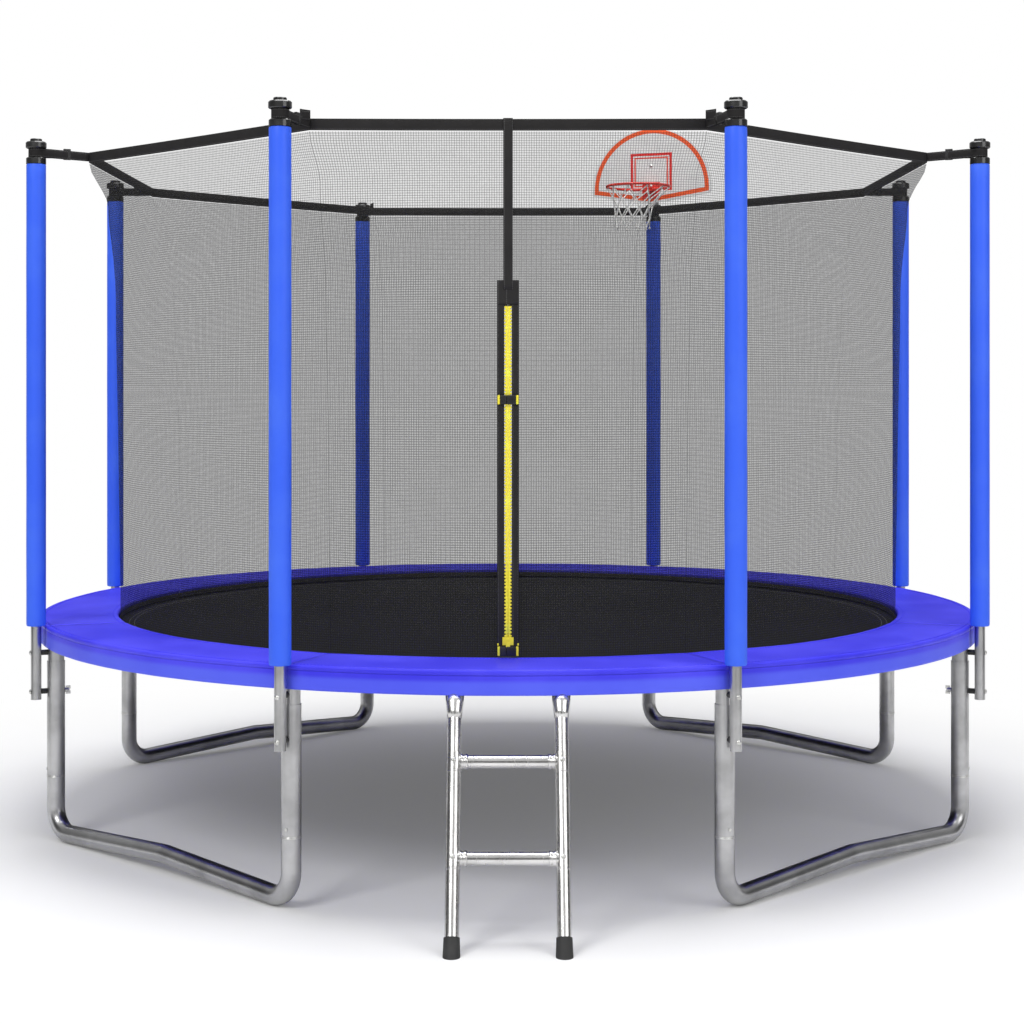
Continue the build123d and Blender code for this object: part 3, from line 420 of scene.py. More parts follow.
@dataclass(frozen=True)
class Mesh:
    """Open netting: thin dark threads on a square grid, clear between them."""

    name: str
    slot: str
    pitch: float = 0.0080
    thread: float = 0.0018
    fine: float = 0.27
    firm: float = 0.66

    def make(self) -> bpy.types.Material:
        """Builds the material."""
        nodes = Nodes(self.name)
        along, across = nodes.cloth()
        wobble = nodes.noise(26.0, 2.0) * 0.10
        limit = (0.5 * self.thread / self.pitch) * (0.85 + wobble * 3.0)
        upright = nodes.math("FRACT", along / self.pitch) - 0.5
        level = nodes.math("FRACT", across / self.pitch) - 0.5
        mask = (abs(upright) < limit).either(abs(level) < limit)
        knot = (abs(upright) < 1.6 * limit).both(abs(level) < 1.6 * limit)
        weave = self.fine * (0.5 + nodes.noise(220.0, 2.0))
        shade = nodes.noise(300.0, 1.0)
        return nodes.surface({
            "Base Color": nodes.mix(shade, (0.010, 0.010, 0.010), (0.035, 0.035, 0.035)),
            "Roughness": 0.7 + 0.1 * shade,
            "Specular IOR Level": 0.1,
            "Alpha": weave.either(self.firm * mask.either(knot)),
        })


@dataclass(frozen=True)
class Board:
    """White board with an orange border and two red target rectangles, by distance."""

    name: str
    slot: str
    half_width: float
    arc_height: float
    bottom: float
    v_rise: float
    margin: float = 0.011
    band: float = 0.021
    target: tuple[float, float, float, float] = (0.0, 0.084, 0.100, 0.086)
    line: float = 0.013

    def frame_line(self, x: Socket, z: Socket, shrink: float, wide: float) -> Socket:
        """1 on the outline of a rectangle, else 0."""
        middle_x, middle_z, half_x, half_z = self.target
        off_x = abs(x - middle_x) - (half_x - shrink)
        off_z = abs(z - middle_z) - (half_z - shrink)
        outside = off_x.either(off_z)
        return (abs(outside) < wide / 2) * 1.0

    def make(self) -> bpy.types.Material:
        """Builds the material."""
        nodes = Nodes(self.name)
        x, z = nodes.cloth()
        radius = nodes.math("SQRT", x * x + (z * z) * (z > 0.0))
        round_gap = self.half_width - radius
        slope = self.v_rise / self.half_width
        floor = z - (self.bottom - self.arc_height) - abs(x) * slope
        gap = round_gap.both((self.half_width - abs(x)).both(floor))
        border = (gap > self.margin) * (gap < self.margin + self.band)
        outer = self.frame_line(x, z, 0.0, self.line)
        inner = self.frame_line(x, z, 0.017, 0.6 * self.line)
        scuff = nodes.noise(16.0, 4.0).step(0.45, 0.8)
        white = nodes.mix(scuff, (0.90, 0.90, 0.89), (0.82, 0.82, 0.81))
        orange = nodes.mix(border, white, (1.0, 0.115, 0.015))
        red = nodes.mix(outer, orange, (0.85, 0.015, 0.012))
        return nodes.surface({
            "Base Color": nodes.mix(inner, red, (0.95, 0.12, 0.08)),
            "Roughness": 0.30 + 0.16 * scuff,
            "Normal": nodes.bump(nodes.noise(240.0, 2.0), 0.0003, 0.3),
        })


@dataclass(frozen=True)
class Cord:
    """Twisted cord: slanting strands along each length, with painted shade in the grooves between
    them.
    """

    name: str
    colour: Colour
    slot: str

    def make(self) -> bpy.types.Material:
        """Builds the material."""
        nodes = Nodes(self.name)
        x, y, z = nodes.axes(nodes.place())
        strand = (x + y + z * 1.7).repeat(0.004)
        grime = nodes.noise(40.0, 3.0)
        # Darker towards the grooves between the strands: painted shade; the grime noise adds dirt
        # on top
        shade = tuple(0.7 * part for part in self.colour)
        return nodes.surface({
            "Base Color": nodes.mix(strand + 0.3 * grime, self.colour, shade),
            "Roughness": 0.75 + 0.1 * grime,
            "Normal": nodes.bump(strand, 0.0006, 0.7),
        })


class Finish(Enum):
    """Every finish on the object."""

    TUBE = Steel("galvanised_tube", (0.60, 0.60, 0.605), "galvanised_steel")
    LADDER = Steel("bright_ladder_tube", (0.86, 0.85, 0.84), "ladder_steel", 0.2, 46.0)
    ZINC = Steel("zinc_plate", (0.80, 0.80, 0.77), "zinc_hardware", 0.28, 220.0)
    SPRING = Steel("spring_wire", (0.60, 0.61, 0.62), "spring_steel", 0.3, 300.0)
    SLEEVE = FoamSkin("blue_foam_skin", (0.045, 0.148, 1.0), "blue_foam")
    VINYL = Vinyl("blue_vinyl", (0.058, 0.050, 1.0), "blue_vinyl")
    CAP = Moulded("black_cap_plastic", (0.012, 0.012, 0.012), "black_plastic", 0.16, coat=0.4)
    CLASP = Moulded("black_clasp_plastic", (0.016, 0.016, 0.016), "black_plastic", 0.36)
    YELLOW = Moulded("yellow_plastic", (1.0, 0.86, 0.045), "yellow_plastic", 0.3, 600.0)
    RUBBER = Moulded("black_rubber", (0.030, 0.030, 0.030), "black_rubber", 0.62, 500.0, 0.0004)
    BAND = Webbing("black_band", (0.020, 0.019, 0.019), "black_webbing", 0.043)
    STRAP = Webbing("black_strap", (0.018, 0.017, 0.017), "black_webbing", 0.032)
    STRIP = Webbing("black_door_strip", (0.022, 0.021, 0.021), "black_webbing", 0.0345)
    EDGE = Webbing("black_mat_edge", (0.016, 0.016, 0.016), "black_webbing", 0.040)
    MAT = MatCloth("mat_cloth", "mat_fabric")
    NET = Mesh("black_netting", "net_mesh")
    RED = Moulded("red_enamel", (0.80, 0.03, 0.015), "hoop_red", 0.22, 300.0, coat=0.3)
    CORD = Cord("white_cord", (0.85, 0.85, 0.83), "hoop_cord")


class Workshop:
    """Makes each finish once and hands it out by name."""

    made: dict[str, bpy.types.Material] = {}

    @classmethod
    def material(cls, finish: object) -> bpy.types.Material:
        """The material of a finish, made on first use."""
        recipe = finish.value if isinstance(finish, Enum) else finish
        if recipe.name not in cls.made:
            cls.made[recipe.name] = recipe.make()
        return cls.made[recipe.name]

    @classmethod
    def dress(cls, finish: object, *nodes: str) -> None:
        """Gives CAD pieces a finish."""
        for node in nodes:
            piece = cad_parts[node]
            piece.data.materials.clear()
            piece.data.materials.append(cls.material(finish))
            log.info("dressed %s", node)


# ---------------------------------------------------------------- mesh building
def polar(radius: float, angle: float, height: float) -> Point:
    """A point from its distance from the mat axis, its angle in radians and its height."""
    return (radius * cos(angle), radius * sin(angle), height)


def upwards(_: int) -> Vector:
    """The direction of a level strap's width."""
    return Vector((0, 0, 1))


def sideways(_: int) -> Vector:
    """The direction of a hanging strap's width, across the door."""
    return Vector((1, 0, 0))


def pole_angles(sides: int) -> list[float]:
    """The angles of the poles about the mat axis, in degrees."""
    return [360 / sides * (i + 0.5) for i in range(sides)]


def smooth(value: float, low: float, high: float) -> float:
    """0 below low, 1 above high, and a smooth rise between them."""
    share = min(1.0, max(0.0, (value - low) / (high - low)))
    return share * share * (3.0 - 2.0 * share)


def along_line(value: float, stops: Sequence[tuple[float, float]]) -> float:
    """A value read from a smooth curve through (place, value) stops."""
    for (low, first), (high, second) in zip(stops, stops[1:]):
        if value <= high:
            return first + (second - first) * smooth(value, low, high)
    return stops[-1][1]


def new_piece(name: str, mesh: bpy.types.Mesh, finish: object) -> bpy.types.Object:
    """Puts a mesh in the scene as a piece with a finish.

    Args:
        name: the piece's name.
        mesh: its mesh, in the shared frame.
        finish: the finish, whose material the piece gets.

    Returns:
        The new object, at the origin.
    """
    piece = bpy.data.objects.new(name, mesh)
    bpy.context.scene.collection.objects.link(piece)
    mesh.materials.clear()
    mesh.materials.append(Workshop.material(finish))
    log.info("built %s: %d faces", name, len(mesh.polygons))
    return piece


def grid_mesh(
    name: str,
    rows: Sequence[Sequence[Point]],
    chart: Sequence[Sequence[tuple[float, float]]],
    closed: tuple[bool, bool] = (False, False),
    caps: bool = False,
) -> bpy.types.Mesh:
    """A mesh of four-sided faces over a grid of points.

    Args:
        name: the mesh's name.
        rows: the points, row by row.
        chart: the cloth map's place of each point, with one more row or column where closed.
        closed: whether the last row joins the first, and the last column the first.
        caps: whether the first and last rows are filled in.

    Returns:
        The mesh, smooth shaded, with its faces pointing outwards where it is a closed shell.
    """
    count, width = len(rows), len(rows[0])
    builder = bmesh.new()
    layer = builder.loops.layers.uv.new(CLOTH_MAP)
    points = [[builder.verts.new(point) for point in row] for row in rows]
    for i in range(count if closed[0] else count - 1):
        for j in range(width if closed[1] else width - 1):
            corners = ((i, j), (i, j + 1), (i + 1, j + 1), (i + 1, j))
            face = builder.faces.new([points[a % count][b % width] for a, b in corners])
            face.smooth = True
            for loop, (a, b) in zip(face.loops, corners):
                loop[layer].uv = chart[a][b]
    if caps:
        for row, edge in ((points[0], chart[0]), (points[-1], chart[-1])):
            face = builder.faces.new(row)
            for loop, spot in zip(face.loops, edge):
                loop[layer].uv = spot
        bmesh.ops.recalc_face_normals(builder, faces=builder.faces)
    elif all(closed):
        bmesh.ops.recalc_face_normals(builder, faces=builder.faces)
    mesh = bpy.data.meshes.new(name)
    builder.to_mesh(mesh)
    builder.free()
    return mesh


def rounded(width: float, thick: float, corner: float) -> list[tuple[float, float]]:
    """The outline of a flat strap's section, from -width/2 to width/2, with soft corners."""
    points = []
    for side_x, side_y, start in ((1, 1, 0), (-1, 1, 90), (-1, -1, 180), (1, -1, 270)):
        for turn in (0, 45, 90):
            angle = radians(start + turn)
            x = side_x * (width / 2 - corner) + corner * cos(angle)
            y = side_y * (thick / 2 - corner) + corner * sin(angle)
            points.append((x, y))
    return points


def ribbon_mesh(
    name: str,
    path: Sequence[Point],
    wide: Callable[[int], Vector],
    width: float,
    thick: float,
    loop: bool = False,
) -> bpy.types.Mesh:
    """A flat strap that follows a path.

    Args:
        name: the mesh's name.
        path: the middle of the strap.
        wide: the direction of the strap's width at each point of the path.
        width: the strap's width.
        thick: the strap's thickness.
        loop: whether the end of the path joins its start.

    Returns:
        The strap as a closed solid, with its cloth map in metres.
    """
    spots = [Vector(point) for point in path]
    section = rounded(width, thick, 0.3 * thick)
    rows, chart, far = [], [], 0.0
    total = len(spots)
    for i in range(total + 1 if loop else total):
        here = spots[i % total]
        after = spots[(i + 1) % total] if loop or i + 1 < total else here
        before = spots[(i - 1) % total] if loop or i else here
        side = wide(i % total).normalized()
        facing = (after - before).cross(side).normalized()
        if i:
            far += (here - spots[i - 1]).length
        chart.append([(far, x + width / 2) for x, _ in section + section[:1]])
        if i < total:
            rows.append([tuple(here + side * x + facing * y) for x, y in section])
    return grid_mesh(name, rows, chart, (loop, True), not loop)


def turned_mesh(
    name: str,
    outline: Sequence[tuple[float, float]],
    centre: tuple[float, float],
    steps: int,
    closed: bool = True,
) -> bpy.types.Mesh:
    """A shape turned about an upright axis from (radius, height) points."""
    rows, chart = [], []
    for i in range(steps + 1):
        angle = 2 * pi * i / steps
        chart.append([(angle * outline[0][0], height) for _, height in [*outline, outline[0]]])
        if i < steps:
            rows.append([
                (centre[0] + radius * cos(angle), centre[1] + radius * sin(angle), height)
                for radius, height in outline
            ])
    return grid_mesh(name, rows, chart, (True, closed))


def box_mesh(name: str, low: Point, high: Point, corner: float) -> bpy.types.Mesh:
    """A block with its edges rounded off."""
    builder = bmesh.new()
    bmesh.ops.create_cube(builder, size=1.0)
    for vertex in builder.verts:
        vertex.co = Vector(
            a + (b - a) * (part + 0.5) for a, b, part in zip(low, high, vertex.co)
        )
    bmesh.ops.bevel(
        builder, geom=list(builder.edges), offset=corner, segments=3, affect="EDGES", profile=0.5
    )
    layer = builder.loops.layers.uv.new(CLOTH_MAP)
    for face in builder.faces:
        face.smooth = True
        for loop in face.loops:
            loop[layer].uv = (loop.vert.co.z, loop.vert.co.x)
    mesh = bpy.data.meshes.new(name)
    builder.to_mesh(mesh)
    builder.free()
    return mesh


def merged(name: str, meshes: Iterable[bpy.types.Mesh]) -> bpy.types.Mesh:
    """Several meshes as one."""
    builder = bmesh.new()
    for mesh in meshes:
        builder.from_mesh(mesh)
        bpy.data.meshes.remove(mesh)
    result = bpy.data.meshes.new(name)
    builder.to_mesh(result)
    builder.free()
    return result


def around(name: str, mesh: bpy.types.Mesh, angles: Iterable[float]) -> bpy.types.Mesh:
    """Copies of a mesh made at angle 0, turned about the mat axis to each angle in degrees."""
    builder = bmesh.new()
    for angle in angles:
        before = len(builder.verts)
        builder.from_mesh(mesh)
        builder.verts.ensure_lookup_table()
        turn, added = radians(angle), builder.verts[before:]
        for vertex in added:
            x, y, z = vertex.co
            vertex.co = (x * cos(turn) - y * sin(turn), x * sin(turn) + y * cos(turn), z)
    result = bpy.data.meshes.new(name)
    builder.to_mesh(result)
    builder.free()
    return result


class Grower:
    """A small Geometry Nodes tree with named inputs, applied once to a starting mesh."""

    def __init__(self, name: str, inputs: dict[str, tuple[str, float | int]]) -> None:
        """Starts the tree.

        Args:
            name: the tree's name.
            inputs: each input's socket type and value, by its name.
        """
        self.tree = bpy.data.node_groups.new(name, "GeometryNodeTree")
        self.values: dict[str, float | int] = {}
        interface = self.tree.interface
        interface.new_socket("Geometry", in_out="INPUT", socket_type="NodeSocketGeometry")
        interface.new_socket("Geometry", in_out="OUTPUT", socket_type="NodeSocketGeometry")
        for label, (kind, value) in inputs.items():
            made = interface.new_socket(label, in_out="INPUT", socket_type=kind)
            self.values[made.identifier] = value
        self.start = self.tree.nodes.new("NodeGroupInput")
        self.end = self.tree.nodes.new("NodeGroupOutput")

    def given(self, label: str) -> bpy.types.NodeSocket:
        """A named input's socket inside the tree."""
        return self.start.outputs[label]

    def add(
        self,
        kind: str,
        inputs: dict[str | int, object] | None = None,
        settings: dict[str, object] | None = None,
        output: str | int = 0,
    ) -> bpy.types.NodeSocket:
        """Adds one node and returns the output socket that is wanted."""
        node = self.tree.nodes.new(kind)
        for name, value in (settings or {}).items():
            setattr(node, name, value)
        for name, value in (inputs or {}).items():
            if isinstance(value, bpy.types.NodeSocket):
                self.tree.links.new(value, node.inputs[name])
            else:
                node.inputs[name].default_value = value
        return node.outputs[output]

    def grow(
        self,
        name: str,
        result: bpy.types.NodeSocket,
        finish: object,
        seed_mesh: bpy.types.Mesh | None = None,
    ) -> bpy.types.Mesh:
        """Closes the tree, applies it and returns the plain mesh.

        Args:
            name: the mesh's name.
            result: the geometry that the tree makes.
            finish: the finish of what it makes.
            seed_mesh: the mesh that the tree starts from.

        Returns:
            The finished mesh.
        """
        real = self.add("GeometryNodeRealizeInstances", {"Geometry": result})
        material = Workshop.material(finish)
        dressed = self.add("GeometryNodeSetMaterial", {"Geometry": real, "Material": material})
        self.tree.links.new(dressed, self.end.inputs[0])
        start = seed_mesh or bpy.data.meshes.new(f"{name}_start")
        holder = bpy.data.objects.new(f"{name}_grower", start)
        bpy.context.scene.collection.objects.link(holder)
        modifier = holder.modifiers.new("grow", "NODES")
        modifier.node_group = self.tree
        for identifier, value in self.values.items():
            modifier[identifier] = value
        graph = bpy.context.evaluated_depsgraph_get()
        mesh = bpy.data.meshes.new_from_object(holder.evaluated_get(graph), depsgraph=graph)
        mesh.name = name
        bpy.data.objects.remove(holder)
        return mesh


def line_mesh(name: str, points: Sequence[Point], loop: bool = False) -> bpy.types.Mesh:
    """A mesh of edges from each point to the next."""
    edges = [(i, i + 1) for i in range(len(points) - 1)]
    if loop:
        edges.append((len(points) - 1, 0))
    mesh = bpy.data.meshes.new(name)
    mesh.from_pydata([tuple(point) for point in points], edges, [])
    return mesh


def stitches(
    name: str,
    lines: Sequence[Sequence[Point]],
    finish: object,
    pitch: float = 0.009,
    thick: float = 0.0011,
) -> bpy.types.Mesh:
    """Short raised stitches along each of several lines."""
    threads = [line_mesh(f"{name}_{i}", line) for i, line in enumerate(lines)]
    start = merged(f"{name}_lines", threads)
    tree = Grower(name, {
        "Pitch": ("NodeSocketFloat", pitch),
        "Thread": ("NodeSocketFloat", thick),
        "Length": ("NodeSocketFloat", 0.62 * pitch),
    })
    curve = tree.add("GeometryNodeMeshToCurve", {"Mesh": tree.given("Geometry")})
    points = tree.add(
        "GeometryNodeCurveToPoints", {"Curve": curve, "Length": tree.given("Pitch")},
        {"mode": "LENGTH"},
    )
    turn = points.node.outputs["Rotation"]
    stitch = tree.add("GeometryNodeMeshCylinder", {
        "Vertices": 6,
        "Radius": tree.given("Thread"),
        "Depth": tree.given("Length"),
    })
    placed = tree.add(
        "GeometryNodeInstanceOnPoints", {"Points": points, "Instance": stitch, "Rotation": turn}
    )
    return tree.grow(name, placed, finish, start)


# ---------------------------------------------------------------- the enclosure's net
@dataclass
class Enclosure:
    """The netting, its top band and the straps that hold it to the poles."""

    sides: int = 8
    bottom: float = 0.753
    hem: float = 0.018
    top: float = 2.489
    corner_stops: tuple[tuple[float, float], ...] = (
        (0.753, 1.531), (1.40, 1.545), (1.99, 1.565), (2.33, 1.607), (2.489, 1.678),
    )
    middle_stops: tuple[tuple[float, float], ...] = (
        (0.753, 1.5335), (1.99, 1.545), (2.489, 1.5503),
    )
    columns: int = 48
    rows: int = 56
    band_corner: float = 1.680
    band_thick: float = 0.004
    band_low: float = 2.493
    band_high: float = 2.531
    door_top: float = 1.960
    door_edge: float = 0.034
    blend_from: float = 0.45
    map_radius: float = 1.54
    flat_radius: float = 1.66
    flat_ease: float = 1.02
    pole_radius: float = 1.872
    neck: float = 0.0268
    strap_low: float = 2.504
    strap_high: float = 2.536
    strap_thick: float = 0.0025
    tail_angles: tuple[float, ...] = (-112.5, -67.5, 112.5)

    def radius(self, offset: float, height: float) -> float:
        """The net's distance from the mat axis.

        Args:
            offset: the angle from the middle of the panel, in radians.
            height: the height above the ground.

        Returns:
            The radius: round at the bottom, and drawn out to the corners at the top.
        """
        half = pi / self.sides
        corner = along_line(height, self.corner_stops)
        middle = along_line(height, self.middle_stops)
        share = (1 / cos(offset) - 1) / (1 / cos(half) - 1)
        pull = smooth(height, 1.6, self.top) * (1 - smooth(height, 2.40, self.top))
        ripple = 0.0022 * pull * sin(offset * 96 + height * 7) * share
        return middle + (corner - middle) * share + ripple

    def sheet(
        self, name: str, angle: float, reach: tuple[float, float], heights: tuple[float, float]
    ) -> bpy.types.Object:
        """One piece of netting.

        Args:
            name: the piece's name.
            angle: the middle of its panel, in degrees.
            reach: the piece's first and last angle from that middle, in radians.
            heights: its lowest and highest edge.

        Returns:
            The piece.
        """
        rows, chart = [], []
        low, high = heights
        lines = max(6, round(self.rows * (high - low) / (self.top - self.bottom)))
        for i in range(lines + 1):
            height = low + (high - low) * i / lines
            row, marks = [], []
            for j in range(self.columns + 1):
                offset = reach[0] + (reach[1] - reach[0]) * j / self.columns
                row.append(polar(self.radius(offset, height), radians(angle) + offset, height))
                marks.append((offset * self.map_radius, height))
            rows.append(row)
            chart.append(marks)
        mesh = grid_mesh(name, rows, chart)
        piece = new_piece(name, mesh, Finish.NET)
        width = (reach[1] - reach[0]) * self.flat_radius
        length = self.flat_ease * (high - low)
        area = min(sum(face.area for face in mesh.polygons), width * length)
        return piece

    def build_panels(self) -> None:
        """Makes the netting: seven whole panels, and the front one in three parts."""
        half = pi / self.sides
        for i in range(1, self.sides):
            angle = -90 + 360 / self.sides * i
            piece = self.sheet(f"net_panel_{i}", angle, (-half, half), (self.bottom, self.top))
            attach(piece, "frame")
        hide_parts("net_panels")
        above = self.sheet("net_front_top", -90, (-half, half), (self.door_top, self.top))
        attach(above, "frame")
        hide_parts("net_front_panel")
        edge = self.door_edge / self.radius(0.0, self.door_top)
        for side, reach in (("left", (-half, -edge)), ("right", (edge, half))):
            sign = -1 if side == "left" else 1
            piece = self.sheet(f"net_front_{side}", -90, reach, (self.bottom, self.door_top))
            start = (sign * self.blend_from, 0.0, 0.0)
            sign * self.door_edge
            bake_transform(piece)
            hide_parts(f"door_flap_{side}")

    def build_hem(self) -> None:
        """Makes the narrow woven hem at the foot of the net, open where the door is."""
        half = pi / self.sides
        paths = []
        gap = radians(6.0)
        for i in range(self.sides):
            middle = radians(-90 + 360 / self.sides * i)
            steps = [-half + 2 * half * j / 24 for j in range(25)]
            if i == 0:
                paths.append([(s, middle) for s in steps if s < -gap])
                paths.append([(s, middle) for s in steps if s > gap])
            else:
                paths.append([(s, middle) for s in steps])
        height = self.bottom + self.hem / 2
        meshes = []
        for number, path in enumerate(paths):
            points = [polar(self.radius(s, height) + 0.001, m + s, height) for s, m in path]
            meshes.append(ribbon_mesh(
                f"hem_{number}", points, upwards, self.hem, 0.0022
            ))
        piece = new_piece("net_hem", merged("net_hem", meshes), Finish.STRAP)
        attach(piece, "frame")

    def build_band(self) -> None:
        """Makes the webbing band round the top of the net."""
        points = []
        middle_r = self.band_corner - self.band_thick / 2
        height = (self.band_low + self.band_high) / 2
        half = pi / self.sides
        for i in range(self.sides):
            start, end = (2 * i - 1) * half, (2 * i + 1) * half
            first = Vector(polar(middle_r, start, height))
            last = Vector(polar(middle_r, end, height))
            for j in range(24):
                share = j / 24
                point = first.lerp(last, share)
                sag = 0.0015 * sin(pi * share)
                points.append((point.x, point.y, point.z - sag))
        mesh = ribbon_mesh(
            "net_top_band", points, upwards,
            self.band_high - self.band_low, self.band_thick, True,
        )
        piece = new_piece("net_top_band_cloth", mesh, Finish.BAND)
        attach(piece, "frame")
        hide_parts("net_top_band")

    def build_straps(self) -> None:
        """Makes the corner straps, which loop round the necks of the pole caps."""
        height = (self.strap_low + self.strap_high) / 2
        reach = self.pole_radius - self.band_corner
        spread = self.strap_thick * 0.75
        turns = 14

        def run(side: int) -> list[Point]:
            """One run of the strap, from the band out to the neck."""
            return [
                (
                    self.band_corner - 0.0015 + share * (reach - 2.1 * self.neck),
                    side * (spread + share**2 * 0.004), height - 0.006 * (1 - share),
                )
                for share in (i / 8 for i in range(9))
            ]

        points = run(1)
        for i in range(turns + 1):
            angle = radians(140 - 280 * i / turns)
            points.append((
                self.pole_radius + self.neck * cos(angle), self.neck * sin(angle), height
            ))
        points += reversed(run(-1))
        strap = ribbon_mesh(
            "strap", points, upwards,
            self.strap_high - self.strap_low, self.strap_thick,
        )
        straps = around("corner_straps", strap, pole_angles(self.sides))
        piece = new_piece("corner_straps_cloth", straps, Finish.STRAP)
        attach(piece, "frame")
        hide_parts("corner_straps")

    def build_tails(self) -> None:
        """Makes the loose ends of three straps, which stick out past their adjusters."""
        near = self.strap_thick / 2 + 0.0012
        tails = []
        for angle in self.tail_angles:
            side = 1 if cos(radians(angle)) < 0 else -1
            points = []
            for i in range(9):
                share = i / 8
                points.append((
                    1.746 - 0.060 * share, side * (near + 0.004 * share**2),
                    self.strap_high + 0.0005 + 0.003 * share,
                ))
            tail = ribbon_mesh("tail", points, upwards, 0.034, 0.0022)
            tails.append(around("tail_placed", tail, [angle]))
        piece = new_piece("strap_tails_cloth", merged("strap_tails", tails), Finish.STRAP)
        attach(piece, "frame")
        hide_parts("strap_tails")

    def build(self) -> None:
        """Makes the whole enclosure except its door's fittings."""
        self.build_panels()
        self.build_hem()
        self.build_band()
        self.build_straps()
        self.build_tails()
        Workshop.dress(Finish.CAP, "strap_adjusters")


# ---------------------------------------------------------------- the door
@dataclass
class Door:
    """The zipped slit: bands, toothed edges, slider, stops and two clasps."""

    flap_back: float = -1.5468
    layer: float = 0.0025
    strip_half: float = 0.035
    teeth_width: float = 0.012
    teeth_gap: float = 0.0003
    tooth_pitch: float = 0.0112
    bottom: float = 0.800
    zip_low: float = 0.840
    zip_high: float = 1.924
    top: float = 1.955
    wide_top: float = 2.008
    band_top: float = 2.532
    narrow_half: float = 0.0155

    def strip(self, side: str) -> None:
        """The woven strip of one half of the door, with a stitched line down each edge."""
        sign = -1 if side == "left" else 1
        inner, outer = self.teeth_width, self.strip_half
        middle = sign * (inner + outer) / 2
        depth = self.flap_back - self.layer
        points = [
            (middle, depth - 0.0006 * noise.noise(Vector((i * 0.4, sign, 0))), height)
            for i, height in enumerate(np.linspace(self.bottom, self.top, 60))
        ]
        mesh = ribbon_mesh(
            f"strip_{side}", points, sideways, outer - inner, 2 * self.layer * 0.9,
        )
        depths = (self.flap_back - 2 * self.layer, self.flap_back)
        blocks = [mesh]
        for inside, low, high in ((self.teeth_gap, self.zip_high, self.top),
                                  (0.0045, self.bottom, self.zip_low)):
            across = sorted((sign * inside, sign * (inner + 0.0005)))
            blocks.append(box_mesh(
                "filler", (across[0], depths[0], low), (across[1], depths[1], high), 0.0006
            ))
        mesh = merged(f"door_strip_{side}", blocks)
        piece = new_piece(f"door_strip_{side}_cloth", mesh, Finish.STRIP)
        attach(piece, f"door_{side}")
        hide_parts(f"door_strip_{side}")
        rows = []
        front = depth - self.layer
        for x in (inner + 0.0025, outer - 0.0035):
            rows.append([
                (sign * x, front, z) for z in (self.bottom + 0.004, self.top - 0.004)
            ])
        mesh = stitches(f"door_stitches_{side}", rows, Finish.RUBBER)
        piece = new_piece(f"door_stitches_{side}", mesh, Finish.RUBBER)
        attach(piece, f"door_{side}")

    def teeth(self, side: str) -> None:
        """The chunky teeth of one half of the zip, each a rounded peg on a cord."""
        sign = -1 if side == "left" else 1
        height = self.zip_high - self.zip_low
        count = round(height / self.tooth_pitch)
        x_low, x_high = sorted((sign * self.teeth_gap, sign * self.teeth_width))
        depth = self.flap_back - 2 * self.layer
        low = self.zip_low + 0.5 * self.tooth_pitch
        tree = Grower(f"zip_teeth_{side}", {
            "Teeth": ("NodeSocketInt", count),
            "Pitch": ("NodeSocketFloat", self.tooth_pitch),
            "Width": ("NodeSocketFloat", x_high - x_low),
            "Depth": ("NodeSocketFloat", 2 * self.layer),
            "Tooth": ("NodeSocketFloat", 0.66 * self.tooth_pitch),
        })
        offset = tree.add("ShaderNodeCombineXYZ", {"Z": tree.given("Pitch")})
        line = tree.add("GeometryNodeMeshLine", {
            "Count": tree.given("Teeth"),
            "Start Location": ((x_low + x_high) / 2, depth + self.layer, low),
            "Offset": offset,
        })
        size = tree.add("ShaderNodeCombineXYZ", {
            "X": tree.given("Width"), "Y": tree.given("Depth"), "Z": tree.given("Tooth"),
        })
        peg = tree.add("GeometryNodeMeshCube", {
            "Size": size, "Vertices X": 3, "Vertices Y": 3, "Vertices Z": 3,
        })
        soft = tree.add("GeometryNodeSubdivisionSurface", {"Mesh": peg, "Level": 1})
        placed = tree.add("GeometryNodeInstanceOnPoints", {"Points": line, "Instance": soft})
        teeth = tree.grow(f"zip_teeth_{side}", placed, Finish.YELLOW)
        spine_x = sign * (self.teeth_gap + 0.0036)
        heights = np.linspace(self.zip_low, self.zip_high, 20)
        points = [(spine_x, depth + self.layer, z) for z in heights]
        spine = ribbon_mesh(
            f"zip_cord_{side}", points, sideways, 0.0072, 1.7 * self.layer
        )
        mesh = merged(f"zip_{side}", [teeth, spine])
        piece = new_piece(f"zip_teeth_{side}_row", mesh, Finish.YELLOW)
        for face in mesh.polygons:
            face.use_smooth = True
        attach(piece, f"door_{side}")
        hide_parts(f"zip_teeth_{side}")

    def bands(self) -> None:
        """The fixed bands above the zip: a wide one, and a narrow one up to the top band."""
        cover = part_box("door_band")[0].y
        depth = cover + self.layer / 2
        wide = [(0.0, depth, z) for z in np.linspace(1.930, self.wide_top, 12)]
        heights = np.linspace(self.wide_top - 0.03, self.band_top, 30)
        narrow = [(0.0, depth - 0.001, z) for z in heights]
        meshes = [
            ribbon_mesh("wide", wide, sideways, 2 * self.strip_half, self.layer),
            ribbon_mesh("narrow", narrow, sideways, 2 * self.narrow_half, self.layer),
        ]
        piece = new_piece("door_band_cloth", merged("door_band", meshes), Finish.STRIP)
        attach(piece, "frame")
        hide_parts("door_band")

